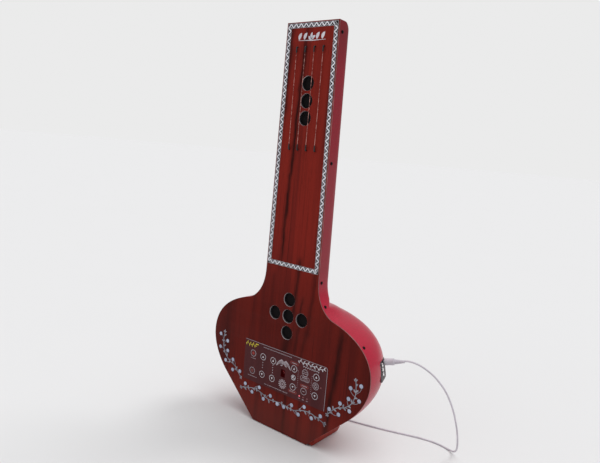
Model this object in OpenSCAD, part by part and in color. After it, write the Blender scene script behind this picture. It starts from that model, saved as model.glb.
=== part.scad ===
// Electronic tanpura: a long-necked, gourd-backed drone instrument that stands on its own foot.
// Millimetres, +Z up. The front board faces -Y, and the origin is the middle of the foot's underside.

/* [Front board] */
// Height from the floor to the top of the neck
height = 750; // [740:2:780]
// Half the width of the neck at its top
neck_top_half = 55.5; // [54:0.5:58]
// Half the width of the neck where it starts to flare
neck_low_half = 61; // [60:0.5:63]
// Half the greatest width of the body
body_half = 185; // [182:1:188]
// Height at which the body is widest
body_wide_z = 154; // [150:1:156]
// Half the width of the foot on the floor
foot_half = 64.5; // [62:0.5:68]
// Half the foot block's width at the floor
foot_wide = 76; // [70:0.5:80]
// Thickness of the board
board_t = 6; // [5.5:0.5:7]
// Thickness of the board's outer lip, in front of the shell
lip_t = 2; // [1.5:0.5:2.5]

/* [Rear shell] */
// Wall of the moulded shell
shell_t = 3; // [2.5:0.5:3]
// Depth of the gourd behind the front face
gourd_depth = 132; // [126:1:138]
// Depth of the neck at its lower end
neck_depth = 38; // [37:1:42]
// Depth of the neck at its top
neck_top_depth = 36; // [35:1:38]

/* [Foot] */
// Depth of the wooden foot behind the front face
foot_depth = 89; // [84:1:92]
// Height of the foot's top edge
foot_top = 66; // [64:1:68]
// Thickness of the rubber pad under the foot
pad_t = 1.5; // [1:0.5:2]

/* [Sound holes] */
// Diameter of every sound hole
hole_d = 25.4; // [24:0.2:26]
// Distance between the body's sound holes
body_hole_pitch = 31.5; // [31:0.5:32]
// Distance between the neck's sound holes
neck_hole_pitch = 29.9; // [29:0.1:31]

/* [Strings] */
// Distance between neighbouring strings
string_pitch = 19; // [18:0.5:19.5]
// How far the strings stand in front of the board
string_lift = 3; // [2.5:0.5:4]

/* [Keypad] */
// Distance between neighbouring columns of keys
key_pitch = 25.4; // [25:0.1:25.5]
// Diameter of a key
key_d = 12.5; // [12:0.1:12.6]
// How far a key travels
key_travel = 0.5; // [0.3:0.1:0.5]

/* [Power lead] */
// Diameter of the lead
lead_d = 3.2; // [3:0.1:3.4]
// Mean diameter of the coiled part of the lead
coil_d = 35; // [34:1:36]

/* [Hidden] */
$fn = 48;
front_y = -45;
eps = 0.01;

// ---- Outline of the board: the right-hand half, from the foot to the top of the neck ----
knee = [147.6, 78.4];
waist = [97.6, 243.1];
neck_low_z = 308;
foot_slope = (knee.x - foot_half) / knee.y;
foot_dir = [foot_slope, 1] / norm([foot_slope, 1]);
waist_dir = [-1, 0.33] / norm([-1, 0.33]);
wide = [body_half, body_wide_z];
neck_low = [neck_low_half, neck_low_z];
foot_corner = [foot_half + foot_slope * pad_t, pad_t];
corner_cut = 2.5;

function bezier(a, b, c, d, steps) = [
    for (i = [1 : steps])
        let (t = i / steps)
            a * pow(1 - t, 3) + 3 * b * t * pow(1 - t, 2) + 3 * c * t * t * (1 - t) + d * pow(t, 3)
];

corner_in = foot_corner - [corner_cut, 0];
corner_out = foot_corner + foot_dir * corner_cut;
half_outline = concat(
    [corner_in],
    bezier(corner_in, foot_corner, foot_corner, corner_out, 3),
    [knee],
    bezier(knee, knee + 18.3 * foot_dir, wide - [0, 33.4], wide, 9),
    bezier(wide, wide + [0, 69.1], waist - 11.8 * waist_dir, waist, 12),
    bezier(waist, waist + 9.7 * waist_dir, neck_low - [0, 45.8], neck_low, 9),
    [[neck_top_half, height]]
);

// The outline as a table from height to half width
half_table = [for (p = half_outline) [p.y, p.x]];
function half_width(z) = lookup(z, half_table);
function width_slope(z) = (half_width(z + 1) - half_width(z - 1)) / 2;

function along(path, i) = path[min(i + 1, len(path) - 1)] - path[max(i - 1, 0)];
function inward(path, i) = let (t = along(path, i)) [-t.y, t.x] / norm(t);
function foot_side_x(z, gap) = foot_half + foot_slope * z - gap * norm([1, foot_slope]);
function inset_half(gap) = concat(
    [[foot_side_x(pad_t + gap, gap), pad_t + gap]],
    [for (i = [0 : len(half_outline) - 1])
        let (p = half_outline[i] + gap * inward(half_outline, i))
            if (half_outline[i].y > knee.y - 1) [p.x, min(p.y, height - gap)]]
);
function whole(path) = concat(path, [for (i = [len(path) - 1 : -1 : 0]) [-path[i].x, path[i].y]]);

// Everything that is measured from the board's front face sits in this frame
module from_front() {
    translate([0, front_y, 0]) children();
}

// A drawing in X and Z, made solid from depth y0 to depth y1
module slab(y0, y1) {
    translate([0, y1, 0]) rotate([90, 0, 0]) linear_extrude(y1 - y0) children();
}

// A round bar along Y
module bar(x, z, y0, y1, d) {
    translate([x, y1, z]) rotate([90, 0, 0]) cylinder(h = y1 - y0, d = d);
}

module rounded(w, h, r) {
    square([w - 2 * r, h], center = true);
    square([w, h - 2 * r], center = true);
    for (sx = [-1, 1], sz = [-1, 1]) translate([sx * (w / 2 - r), sz * (h / 2 - r)]) circle(r);
}

// ---- Depth of the shell at each height ----
shell_floor_z = 52;
dome_z = 181.4;
dome_up = 80;
dome_down = 135.4;
dome_power = 2.4;
gourd_power = 2.6;
neck_power = 8;
top_round = 14;

function dome_depth(z) =
    let (h = z > dome_z ? dome_up : dome_down, s = 1 - pow(abs((z - dome_z) / h), dome_power))
        s > 0 ? gourd_depth * pow(s, 1 / dome_power) : 0;
function neck_back(z) =
    let (
        full = lookup(z, [[neck_low_z, neck_depth], [height, neck_top_depth]]),
        over = max(0, z - (height - top_round))
    )
        full - top_round + sqrt(top_round * top_round - over * over);
function shell_depth(z) = z < 200 ? dome_depth(z) : max(dome_depth(z), neck_back(z));
function depth_slope(z) = (shell_depth(z + 0.5) - shell_depth(z - 0.5));
function shell_power(z) = lookup(z, [[246, gourd_power], [262, neck_power]]);

// One ring of the shell: from the right rim round the back to the left rim
ring_sides = 24;
function ring(w, depth, power, z) = [
    for (j = [0 : ring_sides])
        let (a = 180 * j / ring_sides, c = cos(a), s = max(sin(a), 0))
            [w * sign(c) * pow(abs(c), 2 / power), lip_t + (depth - lip_t) * pow(s, 2 / power), z]
];
function outer_ring(z) = ring(half_width(z), shell_depth(z), shell_power(z), z);
function inner_ring(z) = ring(
    half_width(z) - shell_t * min(3, norm([1, width_slope(z)])),
    shell_depth(z) - shell_t * min(3, norm([1, depth_slope(z)])),
    shell_power(z), z
);
shell_z = concat(
    [shell_floor_z, 57, 62, 67, 72],
    [for (p = half_outline) if (p.y > 75 && p.y < 305) p.y],
    [neck_low_z, 460, 610, height - 14, height - 9, height - 5, height]
);

// A thin shell: an outer and an inner skin, joined round the rim at the board
module rear_shell_walls() {
    last = len(shell_z) - 1;
    m = ring_sides + 1;
    inner_z = [for (z = shell_z) min(max(z, shell_floor_z + shell_t), height - shell_t)];
    points = concat(
        [for (z = shell_z) for (p = outer_ring(z)) p],
        [for (z = inner_z) for (p = inner_ring(z)) p]
    );
    n = len(shell_z) * m;
    faces = concat(
        [for (k = [0 : last - 1], j = [0 : m - 2])
            [k * m + j, (k + 1) * m + j, (k + 1) * m + j + 1, k * m + j + 1]],
        [for (k = [0 : last - 1], j = [0 : m - 2])
            [n + k * m + j, n + k * m + j + 1, n + (k + 1) * m + j + 1, n + (k + 1) * m + j]],
        [[for (j = [0 : m - 1]) j]],
        [[for (j = [m - 1 : -1 : 0]) n + j]],
        [[for (j = [m - 1 : -1 : 0]) last * m + j]],
        [[for (j = [0 : m - 1]) n + last * m + j]],
        [for (k = [0 : last - 1]) [n + k * m, n + (k + 1) * m, (k + 1) * m, k * m]],
        [for (k = [0 : last - 1])
            [k * m + m - 1, (k + 1) * m + m - 1, n + (k + 1) * m + m - 1, n + k * m + m - 1]],
        [[m - 1, n + m - 1, n, 0]],
        [[n + last * m + m - 1, last * m + m - 1, last * m, n + last * m]]
    );
    polyhedron(points, faces);
}

// The gourd as one solid between two heights
module gourd_solid(z0, z1) {
    zs = [for (z = shell_z) if (z >= z0 && z <= z1) z];
    last = len(zs) - 1;
    m = ring_sides + 1;
    points = [for (z = zs) for (p = outer_ring(z)) p];
    faces = concat(
        [for (k = [0 : last - 1], j = [0 : m - 1])
            [k * m + j, (k + 1) * m + j, (k + 1) * m + (j + 1) % m, k * m + (j + 1) % m]],
        [[for (j = [0 : m - 1]) j]],
        [[for (j = [m - 1 : -1 : 0]) last * m + j]]
    );
    polyhedron(points, faces);
}

// ---- Places on the board ----
body_hole_z = 228;
neck_hole_z = height - 133.5;
body_holes = [for (d = [[0, 0], [1, 0], [-1, 0], [0, 1], [0, -1]])
    [0, body_hole_z] + body_hole_pitch * d];
neck_holes = [for (i = [-1 : 1]) [0, neck_hole_z + i * neck_hole_pitch]];
string_x = [for (i = [-1.5 : 1 : 1.5]) i * string_pitch];
string_top = height - 41;
string_low = height - 220;
sleeve_l = 11;
sleeve_d = 2.6;
board_inset = 3.6;

keypad_z = 118.75;
overlay_w = 198;
overlay_h = 81.5;
opening_w = 185;
opening_h = 71;
window_w = 10;
window_h = 14.5;
window_z = 117.5;
led_places = [[42, 88], [51, 88], [60, 88], [87.5, 118.5]];
led_d = 3;

// ---- Board, shell and foot ----
// A rib of the board crosses the keypad's opening, behind the keypad frame
rib_x = 36.5;
rib_w = 6.2;
rib_y = 3.6;
module front_board() {
    color([0.38, 0.12, 0.09]) from_front() {
        board_sheet();
        slab(rib_y, board_t) translate([rib_x, keypad_z])
            square([rib_w, opening_h + 2], center = true);
    }
}
module board_sheet() {
    difference() {
        union() {
            slab(0, lip_t) polygon(whole(half_outline));
            slab(lip_t / 2, board_t) polygon(whole(inset_half(board_inset)));
        }
        for (p = concat(body_holes, neck_holes)) bar(p.x, p.y, -1, board_t + 1, hole_d);
        slab(-1, board_t + 1) translate([0, keypad_z]) square([opening_w, opening_h], center = true);
        for (x = string_x, z = [string_low + 1.3, string_top - 1.3])
            bar(x, z, -1, board_t + 1, sleeve_d + 0.1);
    }
}

module rear_shell() {
    color([0.68, 0.16, 0.22]) from_front() difference() {
        rear_shell_walls();
        slab(lip_t - 1, board_t)
            foot_side(board_inset, shell_floor_z - 1, shell_floor_z + shell_t + 1);
        at_sockets() translate([0, 0, -8]) linear_extrude(30)
            rounded(plate_h + 0.4, plate_w + 0.4, plate_r);
    }
}

foot_wall = 9;
module foot_side(gap, z0, z1) {
    polygon([
        [foot_side_x(z0, gap), z0], [foot_side_x(z1, gap), z1],
        [-foot_side_x(z1, gap), z1], [-foot_side_x(z0, gap), z0]
    ]);
}
foot_lean = 0.35;
module foot_shape(gap, z0, z1) {
    x0 = foot_wide + foot_lean * z0 - gap;
    x1 = foot_wide + foot_lean * z1 - gap;
    polygon([[x0, z0], [x1, z1], [-x1, z1], [-x0, z0]]);
}
module foot_block() {
    color([0.45, 0.15, 0.11]) from_front() difference() {
        slab(board_t, foot_depth) foot_shape(0, pad_t, foot_top);
        slab(board_t - 1, foot_depth - foot_wall)
            foot_shape(foot_wall, pad_t + foot_wall, foot_top + 1);
        gourd_solid(shell_floor_z, 110);
    }
}

module foot_pad() {
    color([0.12, 0.12, 0.12]) from_front() translate([0, (foot_depth + 4) / 2, 0])
        linear_extrude(pad_t) rounded(2 * foot_wide - 8, foot_depth - 8, 6);
}

batten_w = 10;
batten_t = 12;
batten_z0 = 318;
batten_z1 = height - 8;
function batten_x(z, gap) = half_width(z) - board_inset - gap;
module neck_battens() {
    color([0.72, 0.55, 0.35]) from_front() for (s = [0, 1]) mirror([s, 0, 0])
        slab(board_t, board_t + batten_t) polygon([
            [batten_x(batten_z0, 0.4), batten_z0], [batten_x(batten_z1, 0.4), batten_z1],
            [batten_x(batten_z1, batten_w), batten_z1], [batten_x(batten_z0, batten_w), batten_z0]
        ]);
}

// Screws through the shell's sides, by height
screw_depth = 9.5;
screw_head_d = 6;
screw_head_t = 1.6;
screw_d = 3;
screw_l = 14;
neck_screw_z = [height - 19, height - 237, 303];
rim_screw_z = [262, 212];
module at_side(z, gap) {
    s = width_slope(z);
    translate([half_width(z), screw_depth, z]) rotate([0, 90 + atan(s), 0])
        translate([0, 0, -gap]) children();
}
module rim_blocks() {
    color([0.72, 0.55, 0.35]) from_front() for (s = [0, 1], z = concat([303], rim_screw_z))
        mirror([s, 0, 0]) at_side(z, board_inset + 11) translate([-7, board_t - screw_depth, 0])
            cube([14, 12, 10]);
}
module shell_screws() {
    color([0.07, 0.07, 0.07]) from_front() for (s = [0, 1], z = concat(neck_screw_z, rim_screw_z))
        mirror([s, 0, 0]) at_side(z, 0) {
            cylinder(h = screw_head_t, d = screw_head_d);
            translate([0, 0, -screw_l]) cylinder(h = screw_l + eps, d = screw_d);
        }
}

// ---- Decoration ----
foil_t = 0.3;
border_w = 8;
border_edge = 2;
border_z0 = 318.5;
function border_half(z, gap) = half_width(z) - border_edge - gap;
module border_shape(gap) {
    z0 = border_z0 + gap;
    z1 = height - border_edge - gap;
    polygon([
        [border_half(z0, gap), z0], [border_half(z1, gap), z1],
        [-border_half(z1, gap), z1], [-border_half(z0, gap), z0]
    ]);
}
module neck_border() {
    color([0.72, 0.72, 0.75]) from_front() difference() {
        slab(-foil_t, 0) border_shape(0);
        slab(-1, 1) border_shape(border_w);
    }
}

// Sprigs of berries: one up each side of the body, and one below the keypad
berry_d = 8.5;
side_berries = [[168, 149], [148, 139], [167, 122], [146, 119], [130, 105], [150, 98], [129, 84],
    [109, 87]];
low_berries = [[92, 67], [55, 71], [73, 56], [26, 64], [43, 52], [8, 54]];
side_stem = [[106, 75], [122, 93], [140, 101], [153, 113], [159, 132], [157, 154]];
low_stem = [[0, 59], [16, 57], [32, 56], [48, 62], [66, 65], [82, 62], [100, 57]];
stem_w = 1.4;
low_stem_left = [for (i = [len(low_stem) - 1 : -1 : 1]) [-low_stem[i].x, low_stem[i].y]];
low_stem_whole = concat(low_stem_left, low_stem);

// A band of even width along a path in X and Z
module ribbon(path, w) {
    polygon(concat(
        [for (i = [0 : len(path) - 1]) path[i] + w / 2 * inward(path, i)],
        [for (i = [len(path) - 1 : -1 : 0]) path[i] - w / 2 * inward(path, i)]
    ));
}

module vine_decals() {
    color([0.74, 0.74, 0.78]) from_front() {
        for (s = [0, 1]) mirror([s, 0, 0]) {
            for (p = concat(side_berries, low_berries)) bar(p.x, p.y, -foil_t, 0, berry_d);
            slab(-foil_t, 0) ribbon(smooth(side_stem, 3), stem_w);
        }
        slab(-foil_t, 0) ribbon(smooth(low_stem_whole, 3), stem_w);
    }
}

// ---- Keypad ----
film_t = 0.5;
frame_plate_t = 2.6;
circuit_y = 8.5;
circuit_t = 1.6;
key_front = 0.9;
switch_w = 6;
top_row = 134.8;
mid_row = 118;
low_row = 99.6;
key_places = [
    [-3, top_row], [-3, low_row], [-2, top_row], [-2, low_row], [-1, top_row], [-1, low_row],
    [1, top_row], [1, mid_row], [1, low_row], [2, top_row], [2, low_row],
    [3, top_row], [3, mid_row], [3, low_row]
];
function key_at(i) = [key_places[i].x * key_pitch, key_places[i].y];
boss_places = [for (x = [-1, 1], z = [-1, 1]) [x * 88, keypad_z + z * 31.5]];

module keypad_overlay() {
    color([0.25, 0.07, 0.07]) from_front() difference() {
        slab(-film_t, 0) translate([0, keypad_z]) rounded(overlay_w, overlay_h, 5);
        for (i = [0 : 13]) bar(key_at(i).x, key_at(i).y, -1, 1, key_d + 0.4);
        for (p = led_places) bar(p.x, p.y, -1, 1, led_d + 0.2);
        slab(-1, 1) translate([0, window_z]) square([window_w, window_h], center = true);
    }
}

module keypad_frame() {
    color([0.12, 0.12, 0.13]) from_front() difference() {
        union() {
            slab(0, frame_plate_t) translate([0, keypad_z])
                square([opening_w - 0.4, opening_h - 0.4], center = true);
            for (p = boss_places) bar(p.x, p.y, frame_plate_t - eps, circuit_y, 6);
        }
        for (i = [0 : 13]) bar(key_at(i).x, key_at(i).y, -1, frame_plate_t + 1, key_d + 0.2);
        for (p = led_places) bar(p.x, p.y, -1, frame_plate_t + 1, led_d + 0.4);
        for (p = boss_places) bar(p.x, p.y, circuit_y - 5, circuit_y + 1, 2.4);
        slab(-1, frame_plate_t + 1) translate([0, window_z]) square([13.4, 20], center = true);
    }
}

// A key: a cap through the film, a collar behind the frame and a stem into its switch
module key(i) {
    color([0.32, 0.09, 0.09]) from_front() {
        bar(key_at(i).x, key_at(i).y, -key_front, frame_plate_t + 0.2, key_d);
        bar(key_at(i).x, key_at(i).y, frame_plate_t + 0.1, frame_plate_t + 0.9, key_d + 2);
        bar(key_at(i).x, key_at(i).y, frame_plate_t + 0.8, 5.6, 3.2);
    }
}
module key_power() { key(0); }
module key_preset() { key(1); }
module key_tempo_up() { key(2); }
module key_tempo_down() { key(3); }
module key_volume_up() { key(4); }
module key_volume_down() { key(5); }
module key_pitch_up() { key(6); }
module key_touch() { key(7); }
module key_pitch_down() { key(8); }
module key_tuner() { key(9); }
module key_store() { key(10); }
module key_fine_up() { key(11); }
module key_fine_mode() { key(12); }
module key_fine_down() { key(13); }

module key_switches() {
    color([0.2, 0.2, 0.22]) from_front() for (i = [0 : 13]) difference() {
        slab(5, circuit_y) translate(key_at(i)) square(switch_w, center = true);
        bar(key_at(i).x, key_at(i).y, 4, 7, 3.8);
    }
}

module keypad_circuit() {
    color([0.08, 0.32, 0.16]) from_front() difference() {
        slab(circuit_y, circuit_y + circuit_t) translate([0, keypad_z])
            square([opening_w - 1, opening_h - 1], center = true);
        for (p = boss_places) bar(p.x, p.y, circuit_y - 1, circuit_y + circuit_t + 1, 3.2);
    }
}

module keypad_screws() {
    y0 = circuit_y + circuit_t;
    color([0.7, 0.7, 0.72]) from_front() for (p = boss_places) {
        bar(p.x, p.y, y0, y0 + 1.8, 5.4);
        bar(p.x, p.y, circuit_y - 4.5, y0 + eps, 2.4);
    }
}

module display_window() {
    color([0.3, 0.02, 0.03, 0.8]) from_front()
        slab(-film_t, 0) translate([0, window_z]) square([window_w, window_h], center = true);
}

module display_module() {
    color([0.1, 0.1, 0.1]) from_front()
        slab(0.4, circuit_y) translate([0, window_z]) square([12.6, 19], center = true);
}

module indicator_leds() {
    color([0.85, 0.25, 0.3]) from_front() for (p = led_places) {
        bar(p.x, p.y, -0.8, circuit_y, led_d);
        bar(p.x, p.y, frame_plate_t + 0.6, circuit_y, led_d + 0.9);
    }
}

// ---- Strings ----
wire_d = 0.8;
leg_in = 1.3;
module strings() {
    color([0.7, 0.68, 0.66]) from_front() for (x = string_x) {
        translate([x, -string_lift, string_low + leg_in])
            cylinder(h = string_top - string_low - 2 * leg_in, d = wire_d);
        for (z = [string_low + leg_in, string_top - leg_in])
            bar(x, z, -string_lift - wire_d / 2, board_t + 4, wire_d);
    }
}

module string_sleeves() {
    color([0.06, 0.06, 0.06]) from_front() for (x = string_x, up = [0, 1]) {
        z_leg = up == 1 ? string_top - leg_in : string_low + leg_in;
        z_from = up == 1 ? z_leg - sleeve_l + leg_in : z_leg;
        translate([x, -string_lift, z_from]) cylinder(h = sleeve_l - leg_in, d = sleeve_d);
        translate([x, -string_lift, z_leg]) sphere(d = sleeve_d);
        bar(x, z_leg, -string_lift, board_t, sleeve_d);
    }
}

module string_lugs() {
    color([0.75, 0.6, 0.3]) from_front()
        for (x = string_x, z = [string_low + leg_in, string_top - leg_in]) difference() {
            bar(x, z, board_t, board_t + 2.5, 6);
            bar(x, z, board_t - 1, board_t + 4, wire_d + 0.1);
        }
}

// ---- Loudspeakers ----
cloth_t = 0.5;
body_speaker_d = 98;
module body_cloth() {
    color([0.05, 0.05, 0.05]) from_front()
        bar(0, body_hole_z, board_t, board_t + cloth_t, body_speaker_d);
}
module neck_shape(w, h) {
    translate([0, neck_hole_z]) {
        square([w, h - w], center = true);
        for (s = [-1, 1]) translate([0, s * (h - w) / 2]) circle(d = w);
    }
}
module neck_cloth() {
    color([0.05, 0.05, 0.05]) from_front() slab(board_t, board_t + cloth_t) neck_shape(50, 104);
}

speaker_y = board_t + cloth_t;
module on_body_axis() {
    from_front() translate([0, speaker_y, body_hole_z]) rotate([-90, 0, 0]) children();
}
module body_speaker_basket() {
    color([0.15, 0.15, 0.16]) on_body_axis() rotate_extrude($fn = 96) polygon([
        [41, 0], [49, 0], [49, 2], [43.5, 3], [27, 20], [27, 22], [13, 22], [13, 20], [24, 20], [41, 2]
    ]);
}
module body_speaker_cone() {
    color([0.1, 0.1, 0.1]) on_body_axis() rotate_extrude($fn = 96) polygon([
        [0, 11], [6, 11.5], [12, 14], [38, 1], [40.5, 0.4], [40.5, 1.2], [38, 2], [13, 15.5],
        [12.6, 19], [11.6, 19], [11.6, 15.5], [6, 13], [0, 12.4]
    ]);
}
module body_speaker_magnet() {
    color([0.3, 0.3, 0.32]) on_body_axis() translate([0, 0, 22]) cylinder(h = 14, d = 56);
}
module on_neck_axis() {
    from_front() translate([0, speaker_y, neck_hole_z]) rotate([-90, 0, 0]) children();
}
module neck_speaker_basket() {
    color([0.15, 0.15, 0.16]) from_front() difference() {
        union() {
            slab(speaker_y, speaker_y + 1.6) neck_shape(48, 102);
            slab(speaker_y, speaker_y + 13) neck_shape(44, 98);
        }
        slab(speaker_y - 1, speaker_y + 11.4) neck_shape(41, 95);
        bar(0, neck_hole_z, speaker_y, speaker_y + 14, 20);
    }
}
module neck_speaker_cone() {
    color([0.1, 0.1, 0.1]) from_front() difference() {
        union() {
            slab(speaker_y + 1, speaker_y + 2) neck_shape(40, 94);
            slab(speaker_y + 2 - eps, speaker_y + 6) neck_shape(26, 80);
        }
        slab(speaker_y, speaker_y + 4.8) neck_shape(24, 78);
    }
}
module neck_speaker_magnet() {
    color([0.3, 0.3, 0.32]) from_front()
        bar(0, neck_hole_z, speaker_y + 13, speaker_y + 23, 34);
}
module speaker_screws() {
    color([0.7, 0.7, 0.72]) from_front() {
        for (a = [45 : 90 : 315]) {
            x = 46.5 * cos(a);
            z = body_hole_z + 46.5 * sin(a);
            bar(x, z, speaker_y + 2, speaker_y + 3.6, 4.6);
            bar(x, z, board_t - 4, speaker_y + 2 + eps, 2.4);
        }
        for (z = [neck_hole_z - 50, neck_hole_z + 50]) {
            bar(0, z, speaker_y + 1.6, speaker_y + 2.8, 1.8);
            bar(0, z, board_t - 4, speaker_y + 1.6 + eps, 1.2);
        }
    }
}

// ---- Circuit boards in the gourd ----
main_z = 68;
main_w = 160;
main_y0 = 13;
main_y1 = 55;
standoff_places = [for (x = [-1, 1], y = [17, 38]) [x * 72, y]];
module main_circuit() {
    color([0.08, 0.32, 0.16]) from_front() {
        difference() {
            translate([-main_w / 2, main_y0, main_z]) cube([main_w, main_y1 - main_y0, circuit_t]);
            for (p = standoff_places) translate([p.x, p.y, main_z - 1]) cylinder(h = 4, d = 3.2);
        }
        for (x = [-56 : 16 : 8]) translate([x, 20, main_z + circuit_t - eps]) cube([9, 16, 2.4]);
        for (x = [-48 : 14 : -6]) translate([x, 46, main_z + circuit_t - eps]) cylinder(h = 11, d = 8);
    }
}
module circuit_standoffs() {
    floor_z = shell_floor_z + shell_t;
    color([0.75, 0.62, 0.3]) from_front() for (p = standoff_places) {
        translate([p.x, p.y, floor_z]) cylinder(h = main_z - floor_z, d = 6, $fn = 6);
        translate([p.x, p.y, main_z - eps]) cylinder(h = circuit_t + 2, d = 3);
    }
}
module heat_sink() {
    color([0.6, 0.6, 0.62]) from_front() translate([28, 24, main_z + circuit_t]) {
        cube([34, 24, 3]);
        for (i = [0 : 5]) translate([i * 6.4, 0, 3 - eps]) cube([2, 24, 17]);
    }
}

// ---- Sockets on the gourd's side ----
// Middle of the plate, measured from the board's front face
plate_mid = [175.5, 56.5, 165.5];
plate_turn = 18;
plate_lean = 12;
plate_w = 38;
plate_h = 36;
plate_r = 6;
plate_t = 3;
jack_d = 7;
jack_bore = 3.6;
jack_pitch = 8.2;
jack_across = -7;
power_across = 9;
power_up = 11.5;
power_bore = 5.6;

// Local X runs down the plate, local Y back along it and local Z out of it
module at_sockets() {
    translate(plate_mid) rotate([0, 0, plate_turn]) rotate([0, 90 - plate_lean, 0]) children();
}
jack_places = [for (i = [-1 : 1]) [i * jack_pitch - 3, jack_across]];
power_place = [-power_up, power_across];
module socket_plate() {
    color([0.2, 0.19, 0.2]) from_front() at_sockets() difference() {
        translate([0, 0, -plate_t]) linear_extrude(plate_t) rounded(plate_h, plate_w, plate_r);
        for (p = jack_places) translate([p.x, p.y, -5]) cylinder(h = 10, d = 5.2);
        translate([power_place.x, power_place.y, -5]) cylinder(h = 10, d = 9);
    }
}
module audio_sockets() {
    color([0.85, 0.85, 0.85]) from_front() at_sockets() for (p = jack_places)
        translate([p.x, p.y, 0]) difference() {
            union() {
                cylinder(h = 2.4, d = jack_d);
                translate([0, 0, -plate_t]) cylinder(h = 6.2, d = 5);
                translate([-3.7, -4, -plate_t - 11]) cube([7.4, 8, 11]);
            }
            translate([0, 0, -plate_t - 9]) cylinder(h = 20, d = jack_bore);
        }
}
module power_socket() {
    color([0.1, 0.1, 0.1]) from_front() at_sockets() translate([power_place.x, power_place.y, 0])
        difference() {
            union() {
                translate([0, 0, -plate_t]) cylinder(h = plate_t + 0.6, d = 8.8);
                translate([-4.5, -4.5, -plate_t - 11]) cube([9, 9, 11]);
            }
            translate([0, 0, -plate_t - 7]) cylinder(h = 20, d = power_bore);
        }
}
module socket_circuit() {
    color([0.08, 0.32, 0.16]) from_front() at_sockets()
        translate([-16, -15, -plate_t - 11 - circuit_t]) cube([30, 32, circuit_t]);
}

// Wires: from the main circuit to the loudspeakers, the keypad and the sockets
wire_routes = [
    [[-70, 46, 69.6], [-72, 46, 110], [-70, 46, 190], [-44, 34, 256], [-35, 20, 300],
        [-34, 19, 420], [-33, 21, 570]],
    [[60, 20, 69.6], [60, 21, 76], [60, 16, 82], [60, 11, 84]],
    [[70, 46, 69.6], [80, 50, 95], [104, 50, 122], [146, 42, 152]]
];
module inner_wiring() {
    color([0.75, 0.1, 0.1]) from_front() for (r = wire_routes) tube(smooth(r, 3), 2, 8);
}

// ---- Low-voltage lead, plugged in: connector, lead, coil and wall adaptor ----
connector_d = 12;
connector_l = 17.5;
connector_gap = 2;
relief_l = 18;
module at_power() {
    from_front() at_sockets() translate([power_place.x, power_place.y, 0]) children();
}
module lead_connector() {
    color([0.75, 0.73, 0.76]) at_power() {
        translate([0, 0, connector_gap]) cylinder(h = connector_l, d = connector_d);
        translate([0, 0, -6]) cylinder(h = 6 + connector_gap + eps, d = 5.4);
    }
}
module lead_relief() {
    color([0.75, 0.73, 0.76]) at_power() translate([0, 0, connector_gap + connector_l])
        rotate_extrude() polygon([[0, 0], [4.6, 0], [4.2, 6], [3.4, 12], [2.4, relief_l], [0, relief_l]]);
}

// The lead's route, from the relief to the start of the coil
lead_route = [
    [205, 31, 185.5], [211, 33, 186.5], [218, 35, 186.4], [227, 38, 184.5], [236, 42, 180.5],
    [245, 46, 175], [255, 50, 167.5], [264, 54, 158], [272, 60, 146], [279, 67, 130],
    [285, 75, 110], [289, 84, 87], [291, 94, 63], [290, 105, 40], [286, 117, 21],
    [278, 129, 8], [266, 138, 2.6], [250, 143, 1.6], [230, 144, 1.6], [208, 140, 1.6],
    [184, 132, 1.6], [160, 123, 1.6], [134, 114, 1.6], [108, 106, 1.6], [82, 99, 1.6],
    [58, 93, 1.7], [38, 90, 2.2], [20, 89.5, 2.4]
];
// The last stretch, from the coil to the adaptor
end_route = [[20, 92.7, 8.8], [8, 92.7, 9.2], [-4, 92.7, 10.6], [-16, 92.7, 12]];
coil_at = [20, 72];
tie_t = 0.8;
tie_gap = 0.8;
coil_turns_across = 3;

// A smooth curve through a route's points, with a few steps between each pair
function spot(r, i) = r[min(max(i, 0), len(r) - 1)];
function curve_at(r, i, t) =
    let (a = spot(r, i - 1), b = spot(r, i), c = spot(r, i + 1), d = spot(r, i + 2))
        0.5 * (2 * b + (c - a) * t + (2 * a - 5 * b + 4 * c - d) * t * t
            + (3 * b - 3 * c + d - a) * t * t * t);
function smooth(r, steps) = concat(
    [for (i = [0 : len(r) - 2], k = [0 : steps - 1]) curve_at(r, i, k / steps)],
    [r[len(r) - 1]]
);
function unit(v) = v / norm(v);
module tube(path, d, sides) {
    last = len(path) - 1;
    points = [
        for (i = [0 : last])
            let (
                t = unit(path[min(i + 1, last)] - path[max(i - 1, 0)]),
                side = unit(cross(t, [0, 0, 1])),
                up = cross(side, t)
            )
                for (j = [0 : sides - 1])
                    path[i] + d / 2 * (cos(360 * j / sides) * side + sin(360 * j / sides) * up)
    ];
    faces = concat(
        [for (i = [0 : last - 1], j = [0 : sides - 1])
            [i * sides + j, i * sides + (j + 1) % sides,
                (i + 1) * sides + (j + 1) % sides, (i + 1) * sides + j]],
        [[for (j = [sides - 1 : -1 : 0]) j]],
        [[for (j = [0 : sides - 1]) last * sides + j]]
    );
    polyhedron(points, faces);
}
module lead_tube() {
    color([0.75, 0.73, 0.76]) tube(smooth(lead_route, 2), lead_d, 8);
}
module lead_coil() {
    across = coil_turns_across * lead_d;
    color([0.75, 0.73, 0.76]) translate([coil_at.x, coil_at.y, tie_t]) rotate_extrude($fn = 64)
        translate([coil_d / 2 - across / 2, 0]) square(across);
}
module coil_tie() {
    across = coil_turns_across * lead_d;
    inside = across + 2 * tie_gap;
    color([0.2, 0.2, 0.2]) translate([coil_at.x, coil_at.y - coil_d / 2, 0]) difference() {
        translate([-4, -inside / 2 - tie_t, 0]) cube([8, inside + 2 * tie_t, across + 2 * tie_t]);
        translate([-5, -inside / 2, tie_t]) cube([10, inside, across]);
    }
}
module lead_end() {
    color([0.75, 0.73, 0.76]) tube(smooth(end_route, 3), lead_d, 8);
}
adaptor_size = [66, 44, 30];
adaptor_at = [-104, 70.7, 0];
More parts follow.
